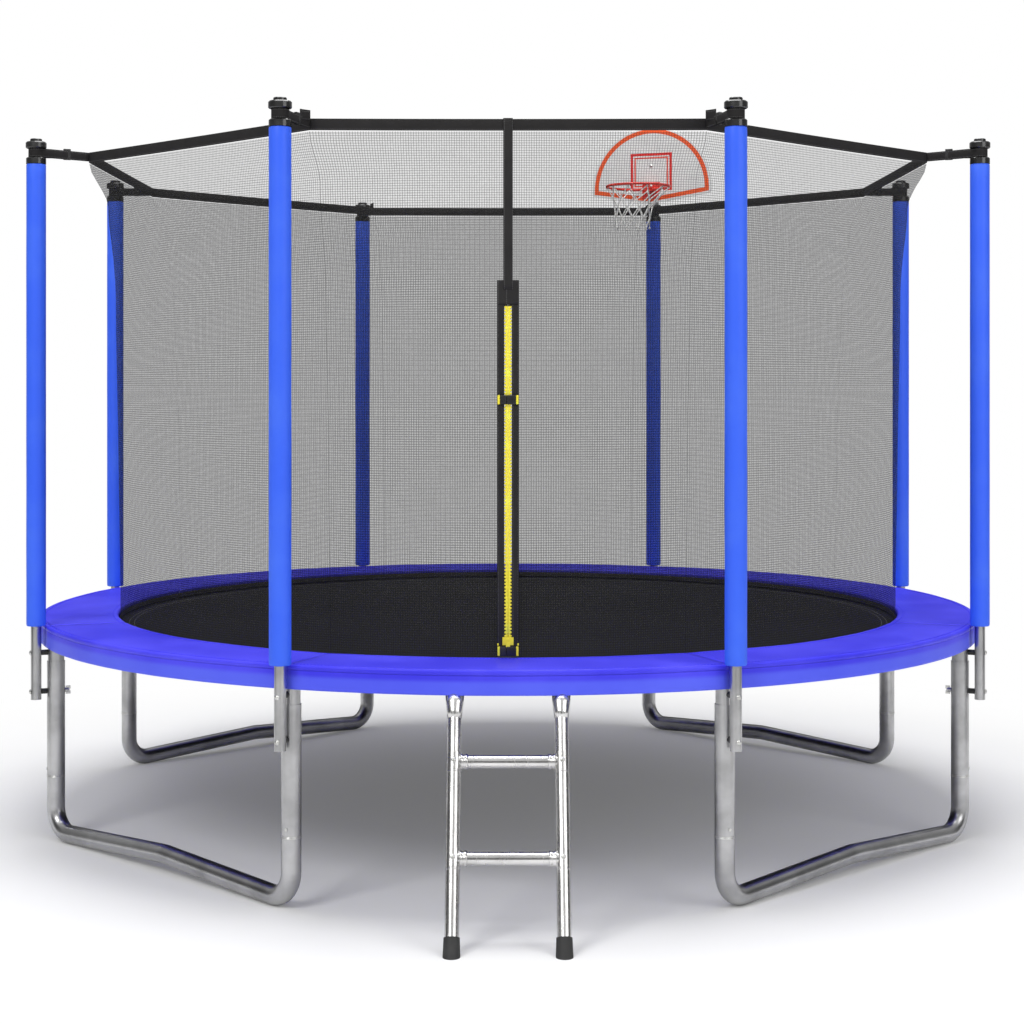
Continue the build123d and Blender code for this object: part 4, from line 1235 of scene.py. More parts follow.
    def slider(self) -> None:
        """The slider, with a bridge and a pull tab that hangs from it."""
        low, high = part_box("zip_slider")
        face = self.flap_back - 2 * self.layer - 0.0003
        plate = 0.003
        parts = [
            box_mesh("face", (low.x, face - plate, low.z), (high.x, face, high.z), 0.0011),
            box_mesh("back", (-0.010, self.flap_back + 0.0003, low.z),
                     (0.010, self.flap_back + 0.0033, high.z), 0.0009),
            box_mesh("wedge", (-0.0014, face - 0.002, low.z),
                     (0.0014, self.flap_back + 0.002, low.z + 0.004), 0.0004),
            box_mesh("bridge", (-0.003, low.y, low.z + 0.006),
                     (0.003, face - plate + 0.0004, high.z - 0.005), 0.0009),
            box_mesh("tab", (-0.007, low.y - 0.0012, low.z - 0.016),
                     (0.007, low.y + 0.0010, low.z + 0.009), 0.0008),
        ]
        piece = new_piece("zip_slider_body", merged("zip_slider", parts), Finish.YELLOW)
        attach(piece, "zip_slider")
        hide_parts("zip_slider")

    def clasp(self, which: str) -> None:
        """One side-release clasp: a hollow half, a pronged half and two yellow end bars."""
        low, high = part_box(f"{which}_clasp_female")
        front, back = low.y, high.y
        shell = box_mesh("shell", (low.x, front, low.z), (high.x, back, high.z), 0.0022)
        ridges = [
            box_mesh("ridge", (x, front - 0.0009, low.z + 0.004), (x + 0.002, front + 0.001,
                     high.z - 0.004), 0.0005)
            for x in (0.012, 0.0165, 0.021)
        ]
        piece = new_piece(f"{which}_clasp_shell", merged("shell", [shell, *ridges]), Finish.CLASP)
        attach(piece, "door_right")
        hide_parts(f"{which}_clasp_female")
        left_low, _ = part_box(f"{which}_clasp_male")
        mouth = low.x - 0.0003
        middle = (low.z + high.z) / 2
        parts = [
            box_mesh("block", (left_low.x, front, low.z), (mouth, back, high.z), 0.0022),
            box_mesh("rib", (left_low.x + 0.004, front - 0.0009, low.z + 0.004),
                     (left_low.x + 0.006, front + 0.001, high.z - 0.004), 0.0005),
        ]
        for sign in (-1, 1):
            edge = middle + sign * 0.0085
            parts.append(box_mesh(
                "prong", (mouth - 0.002, front + 0.0027, edge - 0.0024),
                (mouth + 0.0195, back - 0.0027, edge + 0.0024), 0.0010,
            ))
        piece = new_piece(f"{which}_clasp_prongs", merged("prongs", parts), Finish.CLASP)
        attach(piece, f"{which}_clasp")
        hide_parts(f"{which}_clasp_male")
        for side, body in (("left", f"{which}_clasp"), ("right", "door_right")):
            tab_low, tab_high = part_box(f"{which}_clasp_tab_{side}")
            tab = box_mesh("bar", tuple(tab_low), tuple(tab_high), 0.0018)
            piece = new_piece(f"{which}_clasp_bar_{side}", tab, Finish.YELLOW)
            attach(piece, body)
            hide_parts(f"{which}_clasp_tab_{side}")

    def build(self) -> None:
        """Makes the whole door."""
        for side in ("left", "right"):
            self.strip(side)
            self.teeth(side)
            low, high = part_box(f"zip_stop_{side}")
            stop = box_mesh("stop", tuple(low), tuple(high), 0.0009)
            piece = new_piece(f"zip_stop_{side}_bead", stop, Finish.YELLOW)
            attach(piece, f"door_{side}")
            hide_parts(f"zip_stop_{side}")
        self.bands()
        self.slider()
        for which in ("upper", "lower"):
            self.clasp(which)


# ---------------------------------------------------------------- mat and springs
@dataclass
class JumpingMat:
    """The woven mat, its edge webbing, the rings sewn to it and the coiled springs."""

    radius: float = 1.598
    height: float = 0.7455
    sag: float = 0.012
    rings: int = 56
    spokes: int = 144
    cloth_thick: float = 0.0016
    webbing_width: float = 0.0395
    webbing_thick: float = 0.0048
    springs: int = 72
    coil_radius: float = 0.0102
    wire: float = 0.0016
    coil_start: float = 1.637
    coil_end: float = 1.759
    turns: int = 22

    def build_cloth(self) -> None:
        """Makes the mat as one sheet that sags a little."""
        rows, chart = [], []
        for i in range(self.rings + 1):
            share = (i / self.rings) ** 0.85
            radius = max(0.004, self.radius * share)
            height = self.height - self.sag * (1 - share**2)
            row = [polar(radius, 2 * pi * j / self.spokes, height) for j in range(self.spokes)]
            rows.append(row)
            chart.append([(point[0], point[1]) for point in [*row, row[0]]])
        mesh = grid_mesh("mat_cloth", rows, chart, (False, True))
        builder = bmesh.new()
        builder.from_mesh(mesh)
        inner = [edge for edge in builder.edges
                 if edge.is_boundary and edge.verts[0].co.xy.length < 0.01]
        bmesh.ops.holes_fill(builder, edges=inner)
        bmesh.ops.recalc_face_normals(builder, faces=builder.faces)
        if sum(face.normal.z for face in builder.faces) < 0:
            bmesh.ops.reverse_faces(builder, faces=builder.faces)
        builder.to_mesh(mesh)
        builder.free()
        piece = new_piece("jumping_mat_cloth", mesh, Finish.MAT)
        2 * self.radius
        2 * self.radius
        pi * self.radius**2
        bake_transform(piece)
        wall = piece.modifiers.new("cloth thickness", "SOLIDIFY")
        wall.thickness = self.cloth_thick
        wall.offset = 0.0
        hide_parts("jumping_mat")

    def build_edge(self) -> None:
        """Makes the doubled webbing round the mat."""
        middle = self.radius - self.webbing_width / 2 + 0.001
        steps = 216
        height = self.height + 0.0002
        path = [polar(middle, 2 * pi * i / steps, height) for i in range(steps)]

        def outwards(i: int) -> Vector:
            """The direction across the webbing, away from the mat axis."""
            angle = 2 * pi * i / steps
            return Vector((cos(angle), sin(angle), 0))

        mesh = ribbon_mesh(
            "mat_edge", path, outwards, self.webbing_width, self.webbing_thick, True
        )
        piece = new_piece("mat_edge_cloth", mesh, Finish.EDGE)
        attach(piece, "frame")
        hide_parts("mat_edge_webbing")

    def build_springs(self) -> None:
        """Grows one coiled spring with a hook at each end, and sets it round the frame."""
        tree = Grower("coil_springs", {
            "Springs": ("NodeSocketInt", self.springs),
            "Turns": ("NodeSocketFloat", float(self.turns)),
            "Coil Radius": ("NodeSocketFloat", self.coil_radius - self.wire),
            "Length": ("NodeSocketFloat", self.coil_end - self.coil_start),
            "Wire": ("NodeSocketFloat", self.wire),
            "Start": ("NodeSocketFloat", self.coil_start),
        })
        coil = tree.add("GeometryNodeCurveSpiral", {
            "Resolution": 8,
            "Rotations": tree.given("Turns"),
            "Start Radius": tree.given("Coil Radius"),
            "End Radius": tree.given("Coil Radius"),
            "Height": tree.given("Length"),
        })
        ring = tree.add("GeometryNodeCurvePrimitiveCircle",
                        {"Resolution": 4, "Radius": tree.given("Wire")}, {"mode": "RADIUS"})
        body = tree.add("GeometryNodeCurveToMesh", {"Curve": coil, "Profile Curve": ring})
        laid = tree.add("GeometryNodeTransform", {
            "Geometry": body, "Rotation": (0.0, pi / 2, 0.0),
            "Translation": (self.coil_start, 0.0, self.height),
        })
        hooks = []
        start_hook = (
            (1.6215, 0, 0), (1.6185, 0, 0.004), (1.6225, 0, 0.0075), (1.630, 0, 0.003),
            (self.coil_start, 0, self.coil_radius - self.wire),
        )
        end_hook = (
            (self.coil_end, 0, self.coil_radius - self.wire), (1.766, 0, 0.003), (1.7705, 0, 0.0),
        )
        for hook in (start_hook, end_hook):
            hooks.append(line_mesh("hook", [(x, y, self.height + z) for x, y, z in hook]))
        lines = merged("hook_lines", hooks)
        bends = tree.add("GeometryNodeMeshToCurve", {"Mesh": tree.given("Geometry")})
        smooth_bends = tree.add("GeometryNodeCurveSplineType", {"Curve": bends},
                                {"spline_type": "NURBS"})
        rods = tree.add("GeometryNodeCurveToMesh", {"Curve": smooth_bends, "Profile Curve": ring})
        both = self.join(tree, laid, rods)
        angles = tree.add("GeometryNodeMeshLine", {"Count": tree.given("Springs"),
                                                   "Offset": (0.0, 0.0, 0.0)})
        index = tree.add("GeometryNodeInputIndex")
        half = tree.add("ShaderNodeMath", {0: index, 1: 0.5}, {"operation": "ADD"})
        turn = tree.add("ShaderNodeMath", {0: half, 1: 2 * pi / self.springs},
                        {"operation": "MULTIPLY"})
        rotation = tree.add("ShaderNodeCombineXYZ", {"Z": turn})
        placed = tree.add("GeometryNodeInstanceOnPoints",
                          {"Points": angles, "Instance": both, "Rotation": rotation})
        mesh = tree.grow("coil_springs", placed, Finish.SPRING, lines)
        for face in mesh.polygons:
            face.use_smooth = True
        piece = new_piece("coil_springs", mesh, Finish.SPRING)
        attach(piece, "frame")
        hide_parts("springs")

    @staticmethod
    def join(tree: Grower, *parts: bpy.types.NodeSocket) -> bpy.types.NodeSocket:
        """Joins geometry inside a tree."""
        node = tree.tree.nodes.new("GeometryNodeJoinGeometry")
        for part in parts:
            tree.tree.links.new(part, node.inputs[0])
        return node.outputs[0]

    def build(self) -> None:
        """Makes the mat, its edge and its springs."""
        self.build_cloth()
        self.build_edge()
        self.build_springs()
        Workshop.dress(Finish.ZINC, "v_rings")


# ---------------------------------------------------------------- edge padding
@dataclass
class EdgePad:
    """Eight padded sections over the springs, each with a skirt round the outside."""

    sides: int = 8
    inner: float = 1.540
    outer: float = 1.838
    top: float = 0.787
    thin_from: float = 1.750
    seat: float = 0.7686
    springs_top: float = 0.765
    lip: float = 0.758
    edge: float = 0.009
    skirt_bottom: float = 0.708
    skirt_thick: float = 0.004
    slit: float = 0.0012
    seam_inset: float = 0.020
    seam_dip: float = 0.0022
    stitch_inset: float = 0.0215
    steps: int = 56

    def outline(self) -> list[tuple[float, float]]:
        """The section of the cushion: a soft edge each side, and hollows along two seams."""
        points = []
        for i in range(7):
            angle = radians(180 - 15 * i)
            points.append((self.inner + self.edge + self.edge * cos(angle),
                           self.top - self.edge + self.edge * sin(angle)))
        first, last = self.inner + self.seam_inset, self.outer - self.seam_inset
        for i in range(25):
            share = i / 24
            radius = first + (last - first) * share
            dip = self.seam_dip * (1 - smooth(min(share, 1 - share), 0.0, 0.07))
            points.append((radius, self.top - dip))
        for i in range(7):
            angle = radians(90 - 15 * i)
            points.append((self.outer - self.edge + self.edge * cos(angle),
                           self.top - self.edge + self.edge * sin(angle)))
        points += [
            (self.outer, self.seat + 0.001), (self.outer - 0.004, self.seat),
            (self.thin_from + self.edge, self.seat), (self.thin_from, self.springs_top),
            (self.inner + 0.018, self.springs_top), (self.inner, self.lip),
        ]
        return points

    def wrinkle(self, radius: float, angle: float, share: float) -> float:
        """How far the vinyl lies above or below its plain shape."""
        spot = Vector((radius * cos(angle), radius * sin(angle), 0.0))
        slow = noise.noise(spot * 2.4) * 0.0022
        fine = noise.noise(Vector((angle * 26.0, radius * 9.0, 3.0))) * 0.0012
        near_slit = 1 - smooth(min(share, 1 - share), 0.0, 0.05)
        return slow + fine * (0.4 + 0.5 * near_slit) - 0.0012 * near_slit

    def swept(self, name: str, outline: Sequence[tuple[float, float]], middle: float,
              shape: Callable[[float, float, float, float], tuple[float, float]]) -> bpy.types.Mesh:
        """Sweeps a section round one sector, with its shape worked out point by point."""
        half = pi / self.sides - self.slit / self.outer / 2
        rows, chart = [], []
        for i in range(self.steps + 1):
            share = i / self.steps
            angle = radians(middle) - half + 2 * half * share
            row, marks, far = [], [], 0.0
            before = outline[0]
            for radius, height in outline:
                far += hypot(radius - before[0], height - before[1])
                before = (radius, height)
                new_radius, new_height = shape(radius, height, angle, share)
                row.append(polar(new_radius, angle, new_height))
                marks.append((angle * 1.7, far))
            rows.append(row)
            chart.append([*marks, (angle * 1.7, far + 0.01)])
        return grid_mesh(name, rows, chart, (False, True), True)

    def cushion_shape(
        self, radius: float, height: float, angle: float, share: float
    ) -> tuple[float, float]:
        """Moves a point of a cushion's section for the wrinkles of its top."""
        upper = smooth(height, self.top - 0.010, self.top - 0.001)
        return radius, height + upper * min(0.0022, self.wrinkle(radius, angle, share))

    def skirt_shape(
        self, radius: float, height: float, angle: float, _: float
    ) -> tuple[float, float]:
        """Moves a point of a skirt's section for the slight waves of its lower edge."""
        low = 1 - smooth(height, self.skirt_bottom, self.seat)
        wave = 0.0012 * noise.noise(Vector((angle * 15.0, 0.0, 7.0)))
        return radius + low * (wave + 0.0008), height

    def build(self) -> None:
        """Makes the cushions, the skirts and the stitched hems."""
        cushions, skirts = [], []
        inner = self.outer - self.skirt_thick
        skirt_outline = [(self.outer, self.seat)]
        for i in range(9):
            skirt_outline.append((self.outer, self.seat - 0.0006 - i * (0.0594 / 8)))
        skirt_outline += [(self.outer - 0.0008, self.skirt_bottom), (inner, self.skirt_bottom),
                          (inner, self.seat)]
        lines = []
        for i in range(self.sides):
            middle = -90 + 360 / self.sides * i
            mesh = self.swept(f"cushion_{i}", self.outline(), middle, self.cushion_shape)
            piece = new_piece(f"pad_cushion_{i}", mesh, Finish.VINYL)
            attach(piece, "frame")
            cushions.append(piece)
            mesh = self.swept(f"skirt_{i}", skirt_outline, middle, self.skirt_shape)
            piece = new_piece(f"pad_skirt_{i}", mesh, Finish.VINYL)
            skirts.append(piece)
            half = pi / self.sides - 0.004
            for radius in (self.inner + self.stitch_inset, self.outer - self.stitch_inset):
                lines.append([
                    polar(radius, radians(middle) - half + 2 * half * j / 60, self.top - 0.0012)
                    for j in range(61)
                ])
        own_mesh(skirts[0])
        for piece in skirts:
            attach(piece, "frame")
        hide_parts("pad_sections")
        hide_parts("pad_front_skirt")
        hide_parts("pad_skirts")
        mesh = stitches("pad_stitches", lines, Finish.VINYL, 0.012, 0.0010)
        piece = new_piece("pad_stitches", mesh, Finish.VINYL)
        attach(piece, "frame")


# ---------------------------------------------------------------- poles and frame
@dataclass
class Poles:
    """The eight net poles: foam sleeves over steel tubes, with moulded caps."""

    sides: int = 8
    ring: float = 1.872
    radius: float = 0.036
    bore: float = 0.0193
    low: float = 0.788
    high: float = 2.480
    around: int = 40
    bulge: float = 0.0005
    seam: float = 0.0012
    skin: float = 0.0006

    def sleeve(self, number: int) -> bpy.types.Object:
        """One foam sleeve, with rounded ends, slight bulges and a pressed seam down its back."""
        turn = radians(360 / self.sides * (number + 0.5))
        centre = (self.ring * cos(turn), self.ring * sin(turn))
        heights = [self.low + (self.high - self.low) * i / 44 for i in range(45)]
        stations = [(self.low, 0.93), (self.low + 0.002, 0.975), (self.low + 0.006, 1.0)]
        stations += [(height, 1.0) for height in heights[1:-1]]
        stations += [(self.high - 0.006, 1.0), (self.high - 0.002, 0.975), (self.high, 0.93)]
        rows, chart = [], []
        for height, size in stations:
            row, marks = [], []
            for j in range(self.around + 1):
                angle = 2 * pi * j / self.around
                grain = Vector((number * 7.0, height * 5.0, cos(angle)))
                bulge = self.bulge * noise.noise(grain)
                off = abs(((angle - turn + pi) % (2 * pi)) - pi)
                seam = self.seam * max(0.0, 1 - off / 0.12)
                reach = self.radius * size - self.skin + bulge - seam
                spot = (centre[0] + reach * cos(angle), centre[1] + reach * sin(angle), height)
                row.append(spot)
                marks.append((angle * self.radius, height))
            rows.append(row[:-1])
            chart.append(marks)
        for height in (self.high, self.low):
            ring = []
            for j in range(self.around):
                angle = 2 * pi * j / self.around
                ring.append((centre[0] + self.bore * cos(angle),
                             centre[1] + self.bore * sin(angle), height))
            rows.append(ring)
            chart.append([(2 * pi * j / self.around * self.radius, height)
                          for j in range(self.around + 1)])
        chart.append(chart[0])
        mesh = grid_mesh(f"foam_sleeve_{number}", rows, chart, (True, True))
        piece = new_piece(f"foam_sleeve_{number}", mesh, Finish.SLEEVE)
        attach(piece, "frame")
        return piece

    def build(self) -> None:
        """Makes the sleeves and dresses the rest of the poles."""
        sleeves = [self.sleeve(number) for number in range(self.sides)]
        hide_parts("foam_sleeves")
        Workshop.dress(Finish.TUBE, "poles_lower", "poles_upper")
        Workshop.dress(Finish.CAP, "pole_caps")
        Workshop.dress(Finish.CLASP, "pole_spacers")
        Workshop.dress(Finish.ZINC, "pole_bolts", "wing_nuts")


@dataclass
class Frame:
    """The tubular frame: dressed tubes, with a rolled rim at each joint of the legs."""

    tubes: tuple[str, ...] = ("rail_segments", "t_joints", "leg_uprights", "leg_bases")
    ring: float = 1.800
    tube: float = 0.0325
    joint: float = 0.235
    rim: float = 0.0016
    sides: int = 8

    def build(self) -> None:
        """Dresses the tubes and pins, and adds the rims."""
        Workshop.dress(Finish.TUBE, *self.tubes)
        Workshop.dress(Finish.ZINC, "snap_pins")
        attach(self.rims(), "frame")

    def rims(self) -> bpy.types.Object:
        """The rolled rims, in which a thin dark line marks each joint."""
        outline = []
        for low in (self.joint - 0.0042, self.joint + 0.0010):
            for a in range(-90, 91, 45):
                outline.append((
                    self.tube + self.rim * 0.6 * cos(radians(a)),
                    low + self.rim * (1 + sin(radians(a))),
                ))
        outline += [(self.tube - 0.0006, outline[-1][1]), (self.tube - 0.0006, outline[0][1])]
        rim = turned_mesh("rim", outline, (self.ring, 0.0), 40)
        rims = around("leg_joint_rims", rim, pole_angles(self.sides))
        return new_piece("leg_joint_rims", rims, Finish.ZINC)


@dataclass
class Ladder:
    """The hook-on ladder: dressed tubes, with flared tops and a rim at each splice."""

    tubes: tuple[str, ...] = (
        "ladder_hooks", "ladder_rails_upper", "ladder_rails_middle", "ladder_rails_lower",
        "ladder_rungs",
    )
    half_width: float = 0.165
    pivot: tuple[float, float] = (-1.79242, 0.740)
    lean: float = 27.2
    tube: float = 0.0215
    rungs: tuple[float, float] = (0.518, 0.255)
    splice: float = 0.034
    rung: float = 0.020
    top: float = 0.052

    def placed(self, side: int, across: float, deep: float, down: float) -> Point:
        """A point given across a side tube, through it, and down from the pivot."""
        turn = radians(self.lean)
        y, z = self.pivot
        return (
            side * self.half_width + across,
            y + deep * cos(turn) - down * sin(turn),
            z - deep * sin(turn) - down * cos(turn),
        )

    def sleeve(self, side: int, stations: Sequence[tuple[float, float, float]]) -> bpy.types.Mesh:
        """A closed skin round a side tube from (distance down, half width, half depth)."""
        rows, chart = [], []
        for down, wide, deep in [*stations, stations[0]]:
            row = []
            for j in range(37):
                angle = 2 * pi * j / 36
                row.append(self.placed(side, wide * cos(angle), deep * sin(angle), down))
            rows.append(row[:-1])
            chart.append([(j * 0.004, down) for j in range(37)])
        return grid_mesh("sleeve", rows[:-1], chart, (True, True))

    def saddle(self, side: int, rung: float) -> bpy.types.Mesh:
        """The pressed collar where a rung meets a side tube."""
        start = self.half_width - self.tube + 0.002
        down = (self.pivot[1] - rung) / cos(radians(self.lean))
        _, y, z = self.placed(side, 0.0, 0.0, down)
        step, rung_r = 0.0055, self.rung
        outline = [(start, rung_r + 0.0038), (start - step, rung_r + 0.0042),
                   (start - 1.6 * step, rung_r + 0.0016), (start - 2.4 * step, rung_r + 0.0016),
                   (start - 3.0 * step, rung_r + 0.0040), (start - 4.0 * step, rung_r + 0.0036),
                   (start - 4.4 * step, rung_r - 0.0004), (start, rung_r - 0.0004)]
        rows, chart = [], []
        for across, radius in outline:
            ring = [2 * pi * j / 28 for j in range(28)]
            rows.append([(side * across, y + radius * sin(a), z + radius * cos(a)) for a in ring])
            chart.append([(j * 0.005, across) for j in range(29)])
        chart.append(chart[0])
        return grid_mesh("saddle", rows, chart, (True, True))

    def build_trim(self) -> None:
        """Makes the flared tops, the collars of the rungs and the rims of the splices."""
        trims, tube = [], self.tube
        for side in (-1, 1):
            inner = tube - 0.0006
            deep = tube + 0.0010
            flare = [(self.top - 0.012, 0.0290, deep), (self.top + 0.010, 0.0276, deep),
                     (self.top + 0.040, 0.0240, deep),
                     (self.top + 0.062, tube + 0.0003, tube + 0.0003),
                     (self.top + 0.062, inner, inner), (self.top + 0.040, 0.0228, inner),
                     (self.top + 0.010, 0.0264, inner), (self.top - 0.012, 0.0278, inner)]
            trims.append(self.sleeve(side, flare))
            for rung in self.rungs:
                down = (self.pivot[1] - rung) / cos(radians(self.lean)) + self.splice
                rim = [(down - 0.0035, inner, inner), (down - 0.0035, tube + 0.0004, tube + 0.0004),
                       (down - 0.0012, tube + 0.0012, tube + 0.0012), (down, inner, inner),
                       (down + 0.0012, tube + 0.0008, tube + 0.0008), (down + 0.003, inner, inner)]
                trims.append(self.sleeve(side, rim))
                trims.append(self.saddle(side, rung))
        piece = new_piece("ladder_trim", merged("ladder_trim", trims), Finish.LADDER)
        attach(piece, "ladder")

    def build(self) -> None:
        """Dresses the tubes, bolts and feet, and adds the trim."""
        Workshop.dress(Finish.LADDER, *self.tubes)
        Workshop.dress(Finish.ZINC, "ladder_bolts")
        Workshop.dress(Finish.RUBBER, "ladder_feet")
        self.build_trim()


# ---------------------------------------------------------------- basketball hoop
@dataclass
class Hoop:
    """The small basketball hoop: board, ring, bracket, post and knotted net."""

    angle: float = 67.5
    board_radius: float = 1.841
    half_width: float = 0.305
    bottom: float = 2.563
    v_rise: float = 0.046
    arc_height: float = 2.636
    thick: float = 0.008
    ring_centre: float = 1.636
    ring_height: float = 2.629
    ring_radius: float = 0.150
    wire: float = 0.008
    strands: int = 10
    levels: int = 4
    cord: float = 0.0027
    drop: float = 0.200
    ring_wire: float = 0.0062
    hook: float = 0.0035
    hook_inset: float = 0.003
    waist: float = 0.42
    net_radii: tuple[float, float, float] = (0.146, 0.090, 0.083)
    net_shifts: tuple[float, float] = (0.0648, 0.0252)

    def turned(self, point: Point) -> Point:
        """A point made at angle 0, turned to the hoop's pole."""
        turn = radians(self.angle)
        x, y, z = point
        return (x * cos(turn) - y * sin(turn), x * sin(turn) + y * cos(turn), z)

    def board_edge(self) -> list[tuple[float, float]]:
        """The board's outline across and up, measured from the middle of its round top."""
        edge = [(self.half_width * cos(radians(a)), self.half_width * sin(radians(a)))
                for a in range(0, 181, 5)]
        shoulder = self.bottom + self.v_rise - self.arc_height
        tip = self.bottom - self.arc_height
        soft = 0.03
        for share in (0.0, 0.5, 1.0):
            drop = shoulder + soft * (1 - share) * 0.5
            edge.append((-self.half_width + soft * 0.3 * share**2, drop))
        for i in range(1, 8):
            share = i / 8
            rise = self.v_rise * abs(1 - 2 * share)
            ease = 0.004 * max(0.0, 1 - abs(1 - 2 * share) / 0.2)
            edge.append((-self.half_width * (1 - 2 * share), tip + rise + ease))
        for share in (1.0, 0.5, 0.0):
            drop = shoulder + soft * (1 - share) * 0.5
            edge.append((self.half_width - soft * 0.3 * share**2, drop))
        return edge

    def build_board(self) -> None:
        """Makes the board, with a rolled rim, and its printed lines."""
        edge = self.board_edge()
        front = self.board_radius - self.thick / 2
        stations = ((front + self.thick, 1.0), (front + 0.001, 1.0), (front, 0.994))
        rows, chart = [], []
        for radius, size in stations:
            rows.append([self.turned((radius, -across * size, self.arc_height + up * size))
                         for across, up in edge])
            chart.append([(across * size, up * size) for across, up in [*edge, edge[0]]])
        mesh = grid_mesh("hoop_board", rows, chart, (False, True), True)
        board = Board("hoop_board_print", "hoop_board", self.half_width, self.arc_height,
                      self.bottom, self.v_rise)
        piece = new_piece("hoop_board_panel", mesh, board)
        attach(piece, "frame")
        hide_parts("hoop_board")

    def skin(self, share: float) -> tuple[float, float, float]:
        """The net's centre shift, radius and height at a share of its depth."""
        top = self.ring_height - self.wire
        height = top - self.drop * share
        rim, middle, foot = self.net_radii
        upper, lower = self.net_shifts
        if share < self.waist:
            part = share / self.waist
            return upper * part, rim + (middle - rim) * part, height
        part = (share - self.waist) / (1 - self.waist)
        return upper + lower * part, middle + (foot - middle) * part, height

    def build_ring(self) -> None:
        """Makes the round rod of the hoop, with small open hooks for the net under it."""
        centre = self.turned((self.ring_centre, 0.0, self.ring_height))
        outline = [
            (self.ring_radius + self.ring_wire * cos(radians(a)),
             self.ring_height + self.ring_wire * sin(radians(a)))
            for a in range(0, 360, 30)
        ]
        parts = [turned_mesh("ring", outline, centre[:2], 72)]
        for k in range(self.strands):
            turn = 2 * pi * k / self.strands
            path = []
            for a in range(-90, 181, 30):
                reach = self.ring_radius - self.hook_inset + self.hook * cos(radians(a))
                path.append((
                    centre[0] + reach * cos(turn),
                    centre[1] + reach * sin(turn),
                    self.ring_height - self.ring_wire - 0.0012 + self.hook * sin(radians(a)),
                ))
            side = Vector((-sin(turn), cos(turn), 0.0))
            parts.append(ribbon_mesh("hook", path, lambda _, side=side: side, 0.003, 0.0024))
        piece = new_piece("hoop_ring_rod", merged("hoop_ring", parts), Finish.RED)
        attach(piece, "frame")
        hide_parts("hoop_ring")

    def build_net(self) -> None:
        """Grows the knotted cord net from a lattice of crossing strands."""
        points: list[Point] = []
        edges: list[tuple[int, int]] = []
        for level in range(self.levels + 1):
            shift, radius, height = self.skin(level / self.levels)
            for k in range(self.strands):
                turn = 2 * pi * (k + 0.5 * (level % 2)) / self.strands
                points.append(self.turned((
                    self.ring_centre - shift + radius * cos(turn), radius * sin(turn), height
                )))
        for level in range(self.levels):
            for k in range(self.strands):
                here = level * self.strands + k
                below = (level + 1) * self.strands
                other = (k - 1) % self.strands if level % 2 == 0 else (k + 1) % self.strands
                edges.append((here, below + k))
                edges.append((here, below + other))
        lattice = bpy.data.meshes.new("hoop_lattice")
        lattice.from_pydata(points, edges, [])
        tree = Grower("hoop_net", {
            "Cord": ("NodeSocketFloat", self.cord),
            "Knot": ("NodeSocketFloat", 2.1 * self.cord),
        })
        lines = tree.add("GeometryNodeSplitEdges", {"Mesh": tree.given("Geometry")})
        curves = tree.add("GeometryNodeMeshToCurve", {"Mesh": lines})
        ring = tree.add("GeometryNodeCurvePrimitiveCircle",
                        {"Resolution": 8, "Radius": tree.given("Cord")}, {"mode": "RADIUS"})
        cords = tree.add("GeometryNodeCurveToMesh",
                         {"Curve": curves, "Profile Curve": ring, "Fill Caps": True})
        knot = tree.add("GeometryNodeMeshIcoSphere", {"Radius": tree.given("Knot"),
                                                      "Subdivisions": 2})
        knots = tree.add("GeometryNodeInstanceOnPoints",
                         {"Points": tree.given("Geometry"), "Instance": knot})
        both = JumpingMat.join(tree, cords, knots)
        mesh = tree.grow("hoop_net", both, Finish.CORD, lattice)
        piece = new_piece("hoop_net_cords", mesh, Finish.CORD)
        log.info("hoop net ends in %d loops", self.strands)
        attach(piece, "frame")
        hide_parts("hoop_net")

    def build(self) -> None:
        """Makes the board and net and dresses the rest."""
        self.build_board()
        self.build_ring()
        self.build_net()
        Workshop.dress(Finish.RED, "hoop_bracket")
        Workshop.dress(Finish.TUBE, "hoop_post")
        Workshop.dress(Finish.CLASP, "hoop_clamps")
        Workshop.dress(Finish.ZINC, "hoop_screws")


